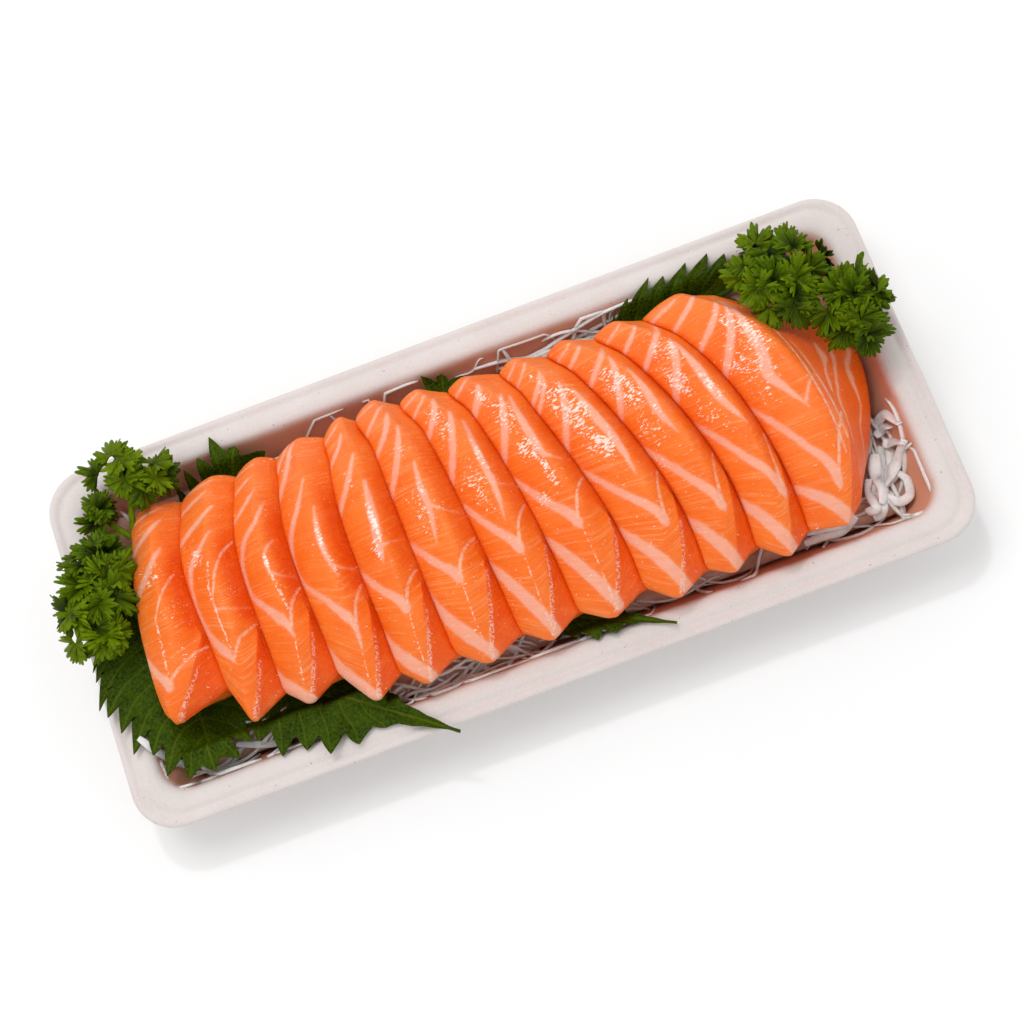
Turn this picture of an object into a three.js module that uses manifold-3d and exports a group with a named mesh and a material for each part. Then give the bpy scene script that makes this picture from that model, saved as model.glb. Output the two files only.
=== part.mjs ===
// Sashimi tray set: twelve thick salmon slices lean on each other along a long moulded-fibre
// tray, over shredded daikon, shiso leaves and curly parsley.
// Millimetres. +X runs along the row, +Y to the far long side, +Z up; the origin is the middle
// of the tray's flat underside.
import * as THREE from 'three';
import { mergeVertices } from 'three/addons/utils/BufferGeometryUtils.js';
import Module from 'manifold-3d';

const wasm = await Module();
wasm.setup();

// ---- tray ----------------------------------------------------------------------------------
const TRAY_L = 240.6;        // over the rim
const TRAY_W = 106.2;
const TRAY_H = 22;          // crown of the rim above the underside
const CORNER_R = 12.5;       // rim corner radius in plan
const CAVITY_INSET = 8.6;   // rim edge to the top of the inner wall
const FLOOR_INSET = 17.5;   // rim edge to the edge of the floor
const FLOOR_Z = 2.6;

// ---- slices --------------------------------------------------------------------------------
const SLICES = 12;
const GAP = 0.36;           // between neighbouring slices
const CROWN_Z = [39.5, 41.5, 43, 44.5, 45.5, 46, 46, 46, 46, 46, 45.5, 45];  // highest point
const FAR_Y = [34.6, 36, 36.4, 37.4, 38.9, 40.2, 38.8, 37.4, 37.3, 37.2, 37.2, 38.2];
const NEAR_Y = [-28.2, -34.8, -35.5, -41.1, -41.7, -42.3, -42.3, -42.5, -43.6, -42.4, -43.4, -41];
const FAR_NOTCH = 2.2, NEAR_NOTCH = 4.6;    // how far the grooves end short of the slices' ends
const FAR_UNDERCUT = 6, NEAR_UNDERCUT = 2;  // and the underside short of the grooves' ends
const FAR_Z = 27;           // crown line at the far end
const NEAR_Z = 31;          // crown line at the near end
const BED_Z = 13;           // underside of the slices in mid row
const STEP_DOWN = 8;        // crown to the groove where the next slice starts
// The groove on the left of each slice, x at y = 34, 12, -12 and -36; the last entry is where
// a thirteenth slice would start.
const GROOVE_Y = [34, 12, -12, -36];
const GROOVE_X = [
  [-97.5, -102, -104.4, -101.8], [-81, -87.6, -86.4, -86.6], [-65.1, -71.8, -72, -72.8],
  [-52.8, -57.8, -57.4, -57.1], [-38.5, -42, -41.8, -41.2], [-28.6, -27.6, -26.8, -25.6],
  [-15.3, -11.8, -9.4, -7.5], [-1.8, 3, 6.6, 8.6], [13.4, 18.4, 24.4, 27.2], [27.4, 35.2, 42, 44.5],
  [41.4, 50.3, 57.2, 58.8], [56.2, 66, 71.8, 73.4], [76.5, 87.6, 93.2, 90]];
const FAR_HOOK = 2;         // the grooves bend back by this much over the far ends
// The crown line's share of the way from groove to groove, at the far end and in mid slice.
const APEX_SHARE = [0.52, 0.64, 0.6, 0.55, 0.72, 0.65, 0.58, 0.47, 0.5, 0.56, 0.64, 0.74];
const MIDDLE_SHARE = [0.64, 0.76];    // first and last slice
// The same for the tip at the near end, where the hard edge of the cut face ends.
const TIP_SHARE = [0.19, 0.41, 0.5, 0.6, 0.48, 0.48, 0.5, 0.53, 0.55, 0.58, 0.61, 0.76];
const EDGE_FROM = 0.7;      // share of the length where that edge leaves the groove
const LEAN_FIRST = 46, LEAN_LAST = 35;   // lean of the cut faces from vertical, degrees
const END_RUN = 0.75, END_TWIST = 0.0206;     // run per rise of the last slice's free face at y = 0,
const END_RUN_MOST = 0.9;                     // its growth per mm of y, and its greatest value

// ---- garnish -------------------------------------------------------------------------------
const LEAF_T = 0.6;
// base, tip, half width, how blunt the tip is, teeth a side, level above the heap
const LEAVES = [
  { name: 'shiso_leaf_1', base: [-99, 20], tip: [-96, -42.5], half: 24, blunt: 0.9, teeth: 8, level: 1 },
  { name: 'shiso_leaf_2', base: [-86, -14], tip: [-31, -55.5], half: 15.5, blunt: 0.2, teeth: 9, level: 0 },
  { name: 'shiso_leaf_3', base: [-84, 12], tip: [-64, 42.5], half: 12.5, blunt: 0.6, teeth: 6, level: 0 },
  { name: 'shiso_leaf_4', base: [-9, 20], tip: [-3, 42], half: 7.5, blunt: 0.6, teeth: 4, level: 0 },
  { name: 'shiso_leaf_5', base: [38, 26], tip: [85.5, 41.5], half: 10.5, blunt: 0.5, teeth: 8, level: 0 },
  { name: 'shiso_leaf_6', base: [-4, -29], tip: [33, -48.5], half: 6, blunt: 0.2, teeth: 6, level: 0 }];
// centre, half sizes, turn about z in degrees, leaflets, stem
const PARSLEY = [
  { name: 'parsley_left_stalk', c: [-92.8, 42, 29], r: [12.5, 8.5, 5.5], turn: -20, n: 8, seed: 5,
    stem: [[-98, 27.5, 25], [-96, 34, 28], [-94, 40, 28.5]] },
  { name: 'parsley_left_middle', c: [-105, 35.4, 27.5], r: [4.5, 6, 4], turn: -20, n: 4, seed: 8,
    stem: [[-99, 27.5, 24.8], [-101, 30, 26], [-103.5, 33, 27]] },
  { name: 'parsley_left', c: [-111, 11.5, 30.5], r: [11, 18, 7.5], turn: -18, n: 12, seed: 11,
    stem: [[-99, 25, 24.4], [-104, 21, 27], [-109, 15, 29]] },
  { name: 'parsley_right_inner', c: [91.6, 29, 33.5], r: [13.5, 14, 7.5], turn: -20, n: 12, seed: 23,
    stem: [[98, 19, 31.5], [96, 22, 32], [93, 25, 33]] },
  { name: 'parsley_right_outer', c: [107.2, 12.6, 33.5], r: [10, 12.5, 6.5], turn: -20, n: 9, seed: 31,
    stem: [[102, 20, 31.5], [104, 18, 32], [106, 15, 33]] }];
const SPRIG_GAP = 0.5;      // slot between two sprigs
const STRAND_R = 0.62;      // radius of a daikon strand
const ROW_CLEAR = 0.4;      // what the garnish keeps from the slices and the leaves
const TRAY_CLEAR = 0.35;    // and from the tray

// ---- helpers -------------------------------------------------------------------------------
const clamp = (v, a, b) => Math.min(b, Math.max(a, v));
const mix = (a, b, t) => a + (b - a) * t;
const smooth = (t) => { t = clamp(t, 0, 1); return t * t * (3 - 2 * t); };

function randomizer(seed) {          // mulberry32
  let a = seed >>> 0;
  return () => {
    a = (a + 0x6D2B79F5) >>> 0;
    let t = a;
    t = Math.imul(t ^ (t >>> 15), t | 1);
    t ^= t + Math.imul(t ^ (t >>> 7), t | 61);
    return ((t ^ (t >>> 14)) >>> 0) / 4294967296;
  };
}

function cubicThrough(xs, ys, x) {   // Lagrange through four stations
  let sum = 0;
  for (let i = 0; i < xs.length; i++) {
    let w = 1;
    for (let j = 0; j < xs.length; j++) if (j !== i) w *= (x - xs[j]) / (xs[i] - xs[j]);
    sum += w * ys[i];
  }
  return sum;
}

function geometry(points, faces) {
  const g = new THREE.BufferGeometry();
  g.setAttribute('position', new THREE.Float32BufferAttribute(points.flat(), 3));
  g.setIndex(faces.flat());
  return g;
}

function volume(points, faces) {
  let v = 0;
  for (const [a, b, c] of faces) {
    const [p, q, r] = [points[a], points[b], points[c]];
    v += p[0] * (q[1] * r[2] - q[2] * r[1]) - p[1] * (q[0] * r[2] - q[2] * r[0])
      + p[2] * (q[0] * r[1] - q[1] * r[0]);
  }
  return v / 6;
}

// A closed body from rings of equal length, with a fan at each end.
function loft(rings) {
  const n = rings[0].length, points = rings.flat(), faces = [];
  for (let i = 0; i + 1 < rings.length; i++) {
    for (let j = 0; j < n; j++) {
      const a = i * n + j, b = i * n + (j + 1) % n, c = a + n, d = b + n;
      faces.push([a, b, d], [a, d, c]);
    }
  }
  for (const [ring, start, flip] of [[rings[0], 0, true], [rings.at(-1), (rings.length - 1) * n, false]]) {
    const m = [0, 1, 2].map((k) => ring.reduce((s, p) => s + p[k], 0) / n);
    points.push(m);
    for (let j = 0; j < n; j++) {
      const a = start + j, b = start + (j + 1) % n, c = points.length - 1;
      faces.push(flip ? [b, a, c] : [a, b, c]);
    }
  }
  if (volume(points, faces) < 0) for (const f of faces) f.reverse();
  return geometry(points, faces);
}

function toSolid(g) {
  return new wasm.Manifold(new wasm.Mesh({
    numProp: 3,
    vertProperties: Float32Array.from(g.getAttribute('position').array),
    triVerts: Uint32Array.from(g.getIndex().array) }));
}

function largest(solid) {
  return solid.decompose().reduce((a, b) => (b.volume() > a.volume() ? b : a));
}

// The largest piece of a solid, with no sealed hollow and no detail under the tolerance.
function fromSolid(solid, tolerance = 0.02) {
  const m = largest(largest(solid).simplify(tolerance)).getMesh();
  const g = new THREE.BufferGeometry();
  g.setAttribute('position', new THREE.Float32BufferAttribute(m.vertProperties, 3));
  g.setIndex(Array.from(m.triVerts));
  return g;
}

function roundedRectangle(halfX, halfY, r, arc, straight) {
  const out = [];
  const corners = [[1, 1, 0], [-1, 1, 90], [-1, -1, 180], [1, -1, 270]];
  corners.forEach(([sx, sy, start], i) => {
    for (let k = 0; k <= arc; k++) {
      const a = THREE.MathUtils.degToRad(start + 90 * k / arc);
      out.push([sx * (halfX - r) + r * Math.cos(a), sy * (halfY - r) + r * Math.sin(a)]);
    }
    const from = out.at(-1), nx = corners[(i + 1) % 4];
    const b = THREE.MathUtils.degToRad(nx[2]);
    const to = [nx[0] * (halfX - r) + r * Math.cos(b), nx[1] * (halfY - r) + r * Math.sin(b)];
    const m = straight[i % 2];
    for (let k = 1; k < m; k++) out.push([mix(from[0], to[0], k / m), mix(from[1], to[1], k / m)]);
  });
  return out;
}

function ringAt(inset, z, grow = 0, straight = [1, 1]) {
  const r = Math.max(7.5, CORNER_R - 0.45 * inset);
  return roundedRectangle(TRAY_L / 2 - inset + grow, TRAY_W / 2 - inset + grow, r, 6, straight)
    .map(([x, y]) => [x, y, z]);
}

// Upper surface of the tray: distance in from the rim edge, and height.
const TOP_PROFILE = [[1.7, 21.5], [2.9, 21], [4.1, 21.7], [6.2, TRAY_H], [CAVITY_INSET - 0.4, 21.7],
  [CAVITY_INSET + 1, 20.2], [FLOOR_INSET - 2, 5.2], [FLOOR_INSET + 1, FLOOR_Z + 0.3],
  [FLOOR_INSET + 3.5, FLOOR_Z]];

function trayTop(inset) {
  if (inset < 6.2) return TRAY_H;
  for (let i = 4; i < TOP_PROFILE.length; i++) {
    const [a, za] = TOP_PROFILE[i - 1], [b, zb] = TOP_PROFILE[i];
    if (inset <= b) return mix(za, zb, (inset - a) / (b - a));
  }
  return FLOOR_Z;
}

function insetOf(x, y) {
  const dx = TRAY_L / 2 - Math.abs(x), dy = TRAY_W / 2 - Math.abs(y);
  const r = CORNER_R;
  if (dx < r && dy < r) return r - Math.hypot(r - dx, r - dy);
  return Math.min(dx, dy);
}

// ---- tray: a thin lip, a shallow groove, the broad rounded rim, steep walls, a flat floor ----
function trayGeometry(clear = 0) {
  const c = clear;
  return loft([
    ringAt(40, 0 - c), ringAt(17, 0 - c), ringAt(15.4, 0.6 - c, c), ringAt(8.6, 17.4 - c, c),
    ringAt(6.6, 19.3 - c, c), ringAt(1, 19.6 - c, c), ringAt(0, 20.2, c), ringAt(0.3, 21 + c, c),
    ...TOP_PROFILE.map(([inset, z], i) => ringAt(inset + (i > 3 ? c : 0), z + c)),
    ringAt(40, FLOOR_Z + c)]);
}

// ---- slices --------------------------------------------------------------------------------
const lean = (k, y) => (k === SLICES ? clamp(END_RUN + END_TWIST * y, 0.02, END_RUN_MOST)
  : Math.tan(THREE.MathUtils.degToRad(mix(LEAN_FIRST, LEAN_LAST, k / SLICES))));
const grooveX = (k, y) =>
  cubicThrough(GROOVE_Y, GROOVE_X[k], clamp(y, -44, 40)) - FAR_HOOK * smooth((y - 24) / 12);

// Crown line height of slice k (1..12) at y.
function crownZ(k, y) {
  const top = CROWN_Z[k - 1], y0 = -4;
  if (y < y0) {
    const u = clamp((y0 - y) / (y0 - NEAR_Y[k - 1]), 0, 1.1);
    return top - (top - NEAR_Z) * Math.pow(u, 2.5);
  }
  const u = clamp((y - y0) / (FAR_Y[k - 1] - y0), 0, 1.1);
  return top - (top - FAR_Z) * Math.pow(u, 2.2);
}

// Height of the groove between slices k and k + 1.
function grooveZ(k, y) {
  const a = crownZ(clamp(k, 1, SLICES), y), b = crownZ(clamp(k + 1, 1, SLICES), y);
  const u = clamp(Math.abs(y + 3) / 40, 0, 1);
  return (a + b) / 2 - STEP_DOWN * (1 - 0.45 * u * u);
}

// Underside of the row; it rises towards both ends of the slices and towards the right end.
function bedZ(x, y) {
  const u = y < -4 ? clamp((-4 - y) / 38, 0, 1.1) : clamp((y + 4) / 42, 0, 1.1);
  return BED_Z + (y < -4 ? 8 : 7) * u * u * u + 2.2 * smooth((x - 82) / 22);
}

// The shared cut face between slices k and k + 1.
const faceX = (k, y, z) => grooveX(k, y) + (grooveZ(k, y) - z) * lean(k, y);

// Far and near ends of the groove between slices k and k + 1.
function farValley(k) {
  if (k === 0 || k === SLICES) return FAR_Y[Math.max(k, 1) - 1] - 4;
  return Math.min(FAR_Y[k - 1], FAR_Y[k]) - FAR_NOTCH;
}

const nearValley = (k) => (k === 0 ? NEAR_Y[0] + 3 : NEAR_Y[k - 1] + NEAR_NOTCH);

// Where the soft crown lies between the two grooves, t running from the far to the near end.
function crownShare(k, t) {
  const middle = mix(...MIDDLE_SHARE, (k - 1) / (SLICES - 1));
  const share = mix(APEX_SHARE[k - 1], middle, smooth(t / 0.35));
  return mix(share, TIP_SHARE[k - 1] - 0.08, smooth((t - 0.68) / 0.32));
}

// Where the hard edge of the cut face lies: on the groove at first, at the tip in the end.
function edgeShare(k, t) {
  return 1 - (1 - TIP_SHARE[k - 1]) * Math.pow(clamp((t - EDGE_FROM) / (1 - EDGE_FROM), 0, 1), 1.4);
}

// How much of its height a section keeps: the two ends are rounded over.
function capAt(t) {
  const round = (s, least) => mix(least, 1, Math.sqrt(1 - (1 - clamp(s, 0, 1)) ** 2));
  return round(t / 0.055, 0.6) * round((1 - t) / 0.04, 0.7);
}

const STATIONS = [0, 0.018, 0.055, 0.14, 0.26, 0.39, 0.52, 0.64, 0.74, 0.84, 0.92, 0.98, 1];

function sliceGeometry(k, grow = 0) {
  const far = FAR_Y[k - 1], near = NEAR_Y[k - 1], g = GAP / 2 - grow;
  // far and near reach of the left side, the crown, the right side and the underside
  const sideReach = (i) => [farValley(i), nearValley(i)];
  const underReach = (i, short = 0) =>
    [farValley(i) - FAR_UNDERCUT - short, nearValley(i) + NEAR_UNDERCUT + short];
  const reach = { left: sideReach(k - 1), crown: [far, near], right: sideReach(k),
    under: underReach(k - 1), foot: underReach(k, k === SLICES ? 5 : 0) };
  const rings = STATIONS.map((t) => {
    const at = (name) => mix(reach[name][0] + grow, reach[name][1] - grow, t);
    const left = (z, name, off = 0) => [faceX(k - 1, at(name), z) + g + off, at(name), z];
    const right = (z, name, off = 0) => [faceX(k, at(name), z) - g - off, at(name), z];
    const bottom = (name) => bedZ(grooveX(k, at(name)) + 16, at(name)) - grow;
    const zl = grooveZ(k - 1, at('left')) + grow, yc = at('crown');
    const start = left(zl, 'left'), side = right(grooveZ(k, at('right')), 'right');
    const a = grooveX(k - 1, yc), b = grooveX(k, yc), c = crownShare(k, t);
    const crown = [mix(a, b, c), yc, crownZ(k, yc) + grow];
    // the edge point rides half way down the flank, and as the hard edge from EDGE_FROM on
    const hard = smooth((t - EDGE_FROM + 0.06) / 0.1);
    const edgeAt = mix(0.5, (edgeShare(k, t) - c) / (1 - c), hard);
    const drop = edgeAt * mix(0.85, mix(1, 0.4, smooth((t - EDGE_FROM) / 0.16)), hard);
    const edge = [mix(crown[0], b - g, edgeAt),
      mix(mix(yc, side[1], edgeAt), yc, smooth((t - 0.8) / 0.2)), mix(crown[2], side[2], drop)];
    const bow = mix(mix(2, 1, smooth(t / 0.3)), 1.25, smooth((t - 0.8) / 0.2));
    const between = (f, up) => [mix(start[0], crown[0], f),
      mix(start[1], crown[1], 1 - Math.pow(1 - f, bow)), mix(start[2], crown[2], f) + up];
    const ring = [left(bottom('under'), 'under', 1.2), left(bottom('under') + 1.3, 'under'),
      left(zl - 1.2, 'left'), between(0.12, 0.15), between(0.5, 0.7), crown, edge, side,
      right(bottom('foot') + 1.3, 'foot'), right(bottom('foot'), 'foot', 1.2)];
    const middle = ring.reduce((sum, p) => sum + p[2], 0) / ring.length;
    const cap = mix(capAt(t), 1, grow > 0 ? 0.3 : 0);
    // a point of a cut face slides along that face
    const slide = [1, 1, 1, 0.88, 0.5, 0, 0.4, 1, 1, 1];
    return ring.map((p, j) => {
      const z = mix(middle, p[2], cap), run = lean(j < 5 ? k - 1 : k, p[1]);
      return [p[0] + (p[2] - z) * slide[j] * run, p[1], z];
    });
  });
  return loft(rings);
}

// ---- surfaces for the garnish ----------------------------------------------------------------
// 0 under the row, rising to 1 where a leaf has climbed to the level of the rim.
function climb(x, y) {
  const k = clamp(Math.round((x + 88) / 16.4), 1, SLICES) - 1, next = Math.min(k + 1, SLICES - 1);
  return Math.max(smooth((y - Math.max(FAR_Y[k], FAR_Y[next]) - 0.2) / 5),
    smooth((Math.min(NEAR_Y[k], NEAR_Y[next]) + 3.4 - y) / 4.4),
    smooth((-90 - x) / 16), smooth((x - 104) / 6));
}

// Middle surface of a leaf: between heap and slices, then over the rim with a slight droop.
function leafZ(x, y, level) {
  const rim = TRAY_H + 1.2 + level - 0.22 * clamp(-insetOf(x, y), 0, 9);
  return mix(bedZ(x, y) - 2.1 + level, rim, climb(x, y));
}

function leafGeometry(leaf) {
  const [bx, by] = leaf.base, [tx, ty] = leaf.tip;
  const len = Math.hypot(tx - bx, ty - by), dx = (tx - bx) / len, dy = (ty - by) / len;
  const rows = leaf.teeth * 2 + 3, cols = leaf.half > 14 ? 4 : 3, top = [], bottom = [];
  const grid = (i, j) => i * (cols + 1) + j;
  for (let i = 0; i < rows; i++) {
    const u = i / (rows - 1);
    // ovate outline with a drawn-out tip; every second station is a tooth
    const bow = Math.sin(Math.PI * clamp(u, 0.0001, 0.9999) ** mix(0.58, 0.85, leaf.blunt));
    const body = bow ** 0.9 * (1 - mix(0.6, 0.1, leaf.blunt) * u) * mix(1.3, 1.02, leaf.blunt);
    const tooth = i % 2 ? 1.1 : 0.84;
    const half = Math.max(0.7, leaf.half * body * (i > 0 && i < rows - 1 ? tooth : 1));
    for (let j = 0; j <= cols; j++) {
      const v = (j / cols) * 2 - 1;
      const shift = Math.abs(v) > 0.9 && i % 2 ? 1.8 : 0;      // teeth point to the tip
      const s = u * len + shift, w = v * half;
      const x = bx + dx * s - dy * w, y = by + dy * s + dx * w;
      const wave = 0.5 * Math.sin(u * 17 + v * 2) * Math.abs(v) * smooth(climb(x, y) * 2 - 0.6);
      const z = leafZ(x, y, leaf.level) + Math.max(0, wave);
      top.push([x, y, z + LEAF_T / 2]);
      bottom.push([x, y, z - LEAF_T / 2]);
    }
  }
  const points = [...top, ...bottom], n = top.length, faces = [];
  for (let i = 0; i + 1 < rows; i++) {
    for (let j = 0; j < cols; j++) {
      const [a, b, c, d] = [grid(i, j), grid(i, j + 1), grid(i + 1, j), grid(i + 1, j + 1)];
      faces.push([a, b, d], [a, d, c], [n + a, n + d, n + b], [n + a, n + c, n + d]);
    }
  }
  const edge = [];
  for (let i = 0; i < rows; i++) edge.push(grid(i, 0));
  for (let j = 1; j <= cols; j++) edge.push(grid(rows - 1, j));
  for (let i = rows - 2; i >= 0; i--) edge.push(grid(i, cols));
  for (let j = cols - 1; j > 0; j--) edge.push(grid(0, j));
  for (let i = 0; i < edge.length; i++) {
    const a = edge[i], b = edge[(i + 1) % edge.length];
    faces.push([a, b, n + b], [a, n + b, n + a]);
  }
  if (volume(points, faces) < 0) for (const f of faces) f.reverse();
  return geometry(points, faces);
}

// ---- tubes, parsley and daikon ---------------------------------------------------------------
function tube(path, radius, sides = 5, steps = 8, taper = 0.55) {
  const curve = new THREE.CatmullRomCurve3(path.map((p) => new THREE.Vector3(...p)));
  const frames = curve.computeFrenetFrames(steps, false), rings = [];
  for (let i = 0; i <= steps; i++) {
    const c = curve.getPointAt(i / steps), n = frames.normals[i], b = frames.binormals[i];
    const r = radius * (i === 0 || i === steps ? taper : 1);
    rings.push(Array.from({ length: sides }, (_, j) => {
      const a = 2 * Math.PI * (j + 0.5) / sides;
      const v = c.clone().addScaledVector(n, r * Math.cos(a)).addScaledVector(b, r * Math.sin(a));
      return v.toArray();
    }));
  }
  return loft(rings);
}

// One curly leaflet: a cupped fan of lobes, thick enough to be a solid.
function leaflet(size, matrix, random) {
  const lobes = 4, points = [], faces = [], rim = [];
  const v = new THREE.Vector3();
  function add(x, y, z) {
    points.push(v.set(x, y, z).applyMatrix4(matrix).toArray());
    return points.length - 1;
  }
  const t = 0.9, half = 0.62 * Math.PI;
  const top0 = add(0, -0.25 * size, t / 2), bottom0 = add(0, -0.25 * size, -t / 2);
  for (let i = 0; i <= lobes * 2; i++) {
    const a = -half + 2 * half * i / (lobes * 2);
    const r = size * (i % 2 ? 1.0 : 0.7) * mix(0.9, 1.08, random());
    const curl = (i % 2 ? 0.16 : -0.08) * size * mix(0.3, 1, random());
    const x = r * Math.sin(a), y = r * Math.cos(a) * 0.9;
    rim.push([add(x, y, curl + t / 2), add(x, y, curl - t / 2)]);
  }
  for (let i = 0; i + 1 < rim.length; i++) {
    faces.push([top0, rim[i + 1][0], rim[i][0]], [bottom0, rim[i][1], rim[i + 1][1]],
      [rim[i][0], rim[i + 1][0], rim[i + 1][1]], [rim[i][0], rim[i + 1][1], rim[i][1]]);
  }
  const [f, l] = [rim[0], rim.at(-1)];
  faces.push([top0, f[0], f[1]], [top0, f[1], bottom0], [l[0], top0, bottom0], [l[0], bottom0, l[1]]);
  if (volume(points, faces) < 0) for (const q of faces) q.reverse();
  return geometry(points, faces);
}

function parsleySolid(p) {
  const random = randomizer(p.seed);
  const core = new THREE.IcosahedronGeometry(1, 1);
  const turn = THREE.MathUtils.degToRad(p.turn);
  const place = new THREE.Matrix4().makeRotationZ(turn).setPosition(...p.c);
  // lumpy core
  const points = [], key = new Map(), faces = [], pos = core.getAttribute('position');
  for (let i = 0; i < pos.count; i += 3) {
    const face = [];
    for (let j = 0; j < 3; j++) {
      const q = new THREE.Vector3().fromBufferAttribute(pos, i + j);
      const id = q.toArray().map((c) => c.toFixed(4)).join();
      if (!key.has(id)) {
        const lump = 0.7 + 0.09 * Math.sin(7 * q.x + p.seed) * Math.cos(6 * q.y)
          + 0.07 * Math.sin(9 * q.z + 3 * q.x);
        key.set(id, points.length);
        points.push(new THREE.Vector3(q.x * p.r[0] * lump, q.y * p.r[1] * lump, q.z * p.r[2] * lump)
          .applyMatrix4(place).toArray());
      }
      face.push(key.get(id));
    }
    faces.push(face);
  }
  let solid = toSolid(geometry(points, faces));
  solid = solid.add(toSolid(tube(p.stem, 0.9, 6, 6, 0.8)));
  for (let i = 0; i < p.n; i++) {
    // spread over the upper half and the waist
    const h = mix(-0.25, 0.96, (i + 0.5) / p.n), a = i * 2.39996 + 0.5 * random();
    const w = Math.sqrt(Math.max(0, 1 - h * h));
    const n = new THREE.Vector3(w * Math.cos(a), w * Math.sin(a), h);
    const at = new THREE.Vector3(n.x * p.r[0] * 0.68, n.y * p.r[1] * 0.68, n.z * p.r[2] * 0.72);
    const swing = [a + 0.3 * random(), a + 0.3 * random()];
    const out = new THREE.Vector3(Math.cos(swing[0]), Math.sin(swing[1]), 0.45 * h - 0.1).normalize();
    const side = new THREE.Vector3(out.y, -out.x, 0.35 * (random() - 0.5)).normalize();
    const up = new THREE.Vector3().crossVectors(side, out).normalize();
    const m = new THREE.Matrix4().makeBasis(side, out, up).setPosition(at);
    solid = solid.add(toSolid(leaflet(mix(5.2, 6.6, random()), place.clone().multiply(m), random)));
  }
  return solid;
}

// Daikon: a flat heap that fills the cavity under the row, with loose strands that show.
function daikonSolid() {
  const rings = [];
  const outline = (inset, r) => roundedRectangle(TRAY_L / 2 - inset, TRAY_W / 2 - inset, r, 5, [7, 3]);
  rings.push(outline(40, 8).map(([x, y]) => [x, y, FLOOR_Z - 1.4]));
  rings.push(outline(12, 9).map(([x, y]) => [x, y, FLOOR_Z - 1.4]));
  const edge = outline(13.9, 9);
  for (const f of [1, 0.94, 0.8, 0.5, 0.15]) {
    rings.push(edge.map(([x, y]) => {
      const px = x * mix(0.45, 1, f), py = y * f;
      const lump = 0.35 * Math.sin(px * 0.55) * Math.sin(py * 0.7 + px * 0.21);
      const low = f === 1 ? 3 : f === 0.94 ? 0.9 : 0;
      return [px, py, Math.min(bedZ(px, py) - 3.5, 16.5) + lump - low];
    }));
  }
  let solid = toSolid(loft(rings));
  const random = randomizer(33);
  // zones: x range, y range, height over the tray or the heap, count, heading in degrees
  const zones = [
    { x: [-52, 96], y: [-44, -37.5], z: [13.5, 19], n: 7, turn: 0 },
    { x: [97, 109], y: [-41, -14], z: [7, 15.5], n: 5, turn: 90 },
    { x: [2, 72], y: [37.5, 44], z: [15.5, 21], n: 4, turn: 0 },
    { x: [-113, -68], y: [-42.5, -37], z: [9.5, 15], n: 3, turn: -8 }];
  for (const zone of zones) {
    for (let i = 0; i < zone.n; i++) {
      const cx = mix(...zone.x, (i + 0.5) / zone.n) , cy = mix(...zone.y, random());
      const half = mix(7, 12, random()), a = THREE.MathUtils.degToRad(zone.turn + mix(-16, 16, random()));
      const bend = mix(-4, 4, random()), path = [];
      for (let s = 0; s <= 4; s++) {
        const t = s / 2 - 1;
        const u = t * half, w = bend * (1 - t * t) + mix(-0.8, 0.8, random());
        const x = clamp(cx + u * Math.cos(a) - w * Math.sin(a), -111, 111);
        const y = clamp(cy + u * Math.sin(a) + w * Math.cos(a), -44.2, 44.2);
        const sink = s === 0 || s === 4 ? 5.5 : 0;
        // the ends go into the heap, towards the middle of the tray
        const yy = s === 0 || s === 4 ? clamp(y, -36.5, 36.5) : y;
        const xx = s === 0 || s === 4 ? clamp(x, -102, 103) : x;
        const z = mix(...zone.z, random());
        path.push([xx, yy, Math.max(trayTop(insetOf(xx, yy)) + 1.2, sink ? bedZ(xx, yy) - sink : z)]);
      }
      solid = solid.add(toSolid(tube(path, STRAND_R, 4, 7)));
    }
  }
  return solid;
}

// ---- assembly --------------------------------------------------------------------------------
const material = (color, roughness) => new THREE.MeshStandardMaterial({ color, roughness, metalness: 0 });
const looks = {
  tray: material(0xe2d9d4, 0.8),
  salmon: material(0xf8702c, 0.35),
  daikon: material(0xded8d0, 0.4),
  shiso: material(0x2a4708, 0.5),
  parsley: material(0x4f7a0c, 0.5) };
const set = new THREE.Group();

function add(name, g, look) {
  g.computeVertexNormals();
  const mesh = new THREE.Mesh(g, look);
  mesh.name = name;
  set.add(mesh);
  return g;
}

add('tray', trayGeometry(), looks.tray);
const rowClear = [];
for (let k = 1; k <= SLICES; k++) {
  add(`salmon_slice_${String(k).padStart(2, '0')}`, sliceGeometry(k), looks.salmon);
  rowClear.push(toSolid(sliceGeometry(k, ROW_CLEAR)));
}
const row = wasm.Manifold.union(rowClear), trayClear = toSolid(trayGeometry(TRAY_CLEAR));

const leafSolids = LEAVES.map((leaf) => toSolid(leafGeometry(leaf)));
const leafClear = LEAVES.map((leaf) => {
  const g = leafGeometry(leaf), p = g.getAttribute('position'), n = p.count / 2;
  for (let i = 0; i < p.count; i++) p.setZ(i, p.getZ(i) + (i < n ? ROW_CLEAR : -ROW_CLEAR));
  return toSolid(g);
});
leafSolids.forEach((solid, i) => {
  let s = solid.subtract(row).subtract(trayClear);
  for (let j = 0; j < i; j++) s = s.subtract(leafClear[j]);
  leafSolids[i] = s;
  add(LEAVES[i].name, fromSolid(s), looks.shiso);
});

const blocked = wasm.Manifold.union([row, trayClear, ...leafClear]);
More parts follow.
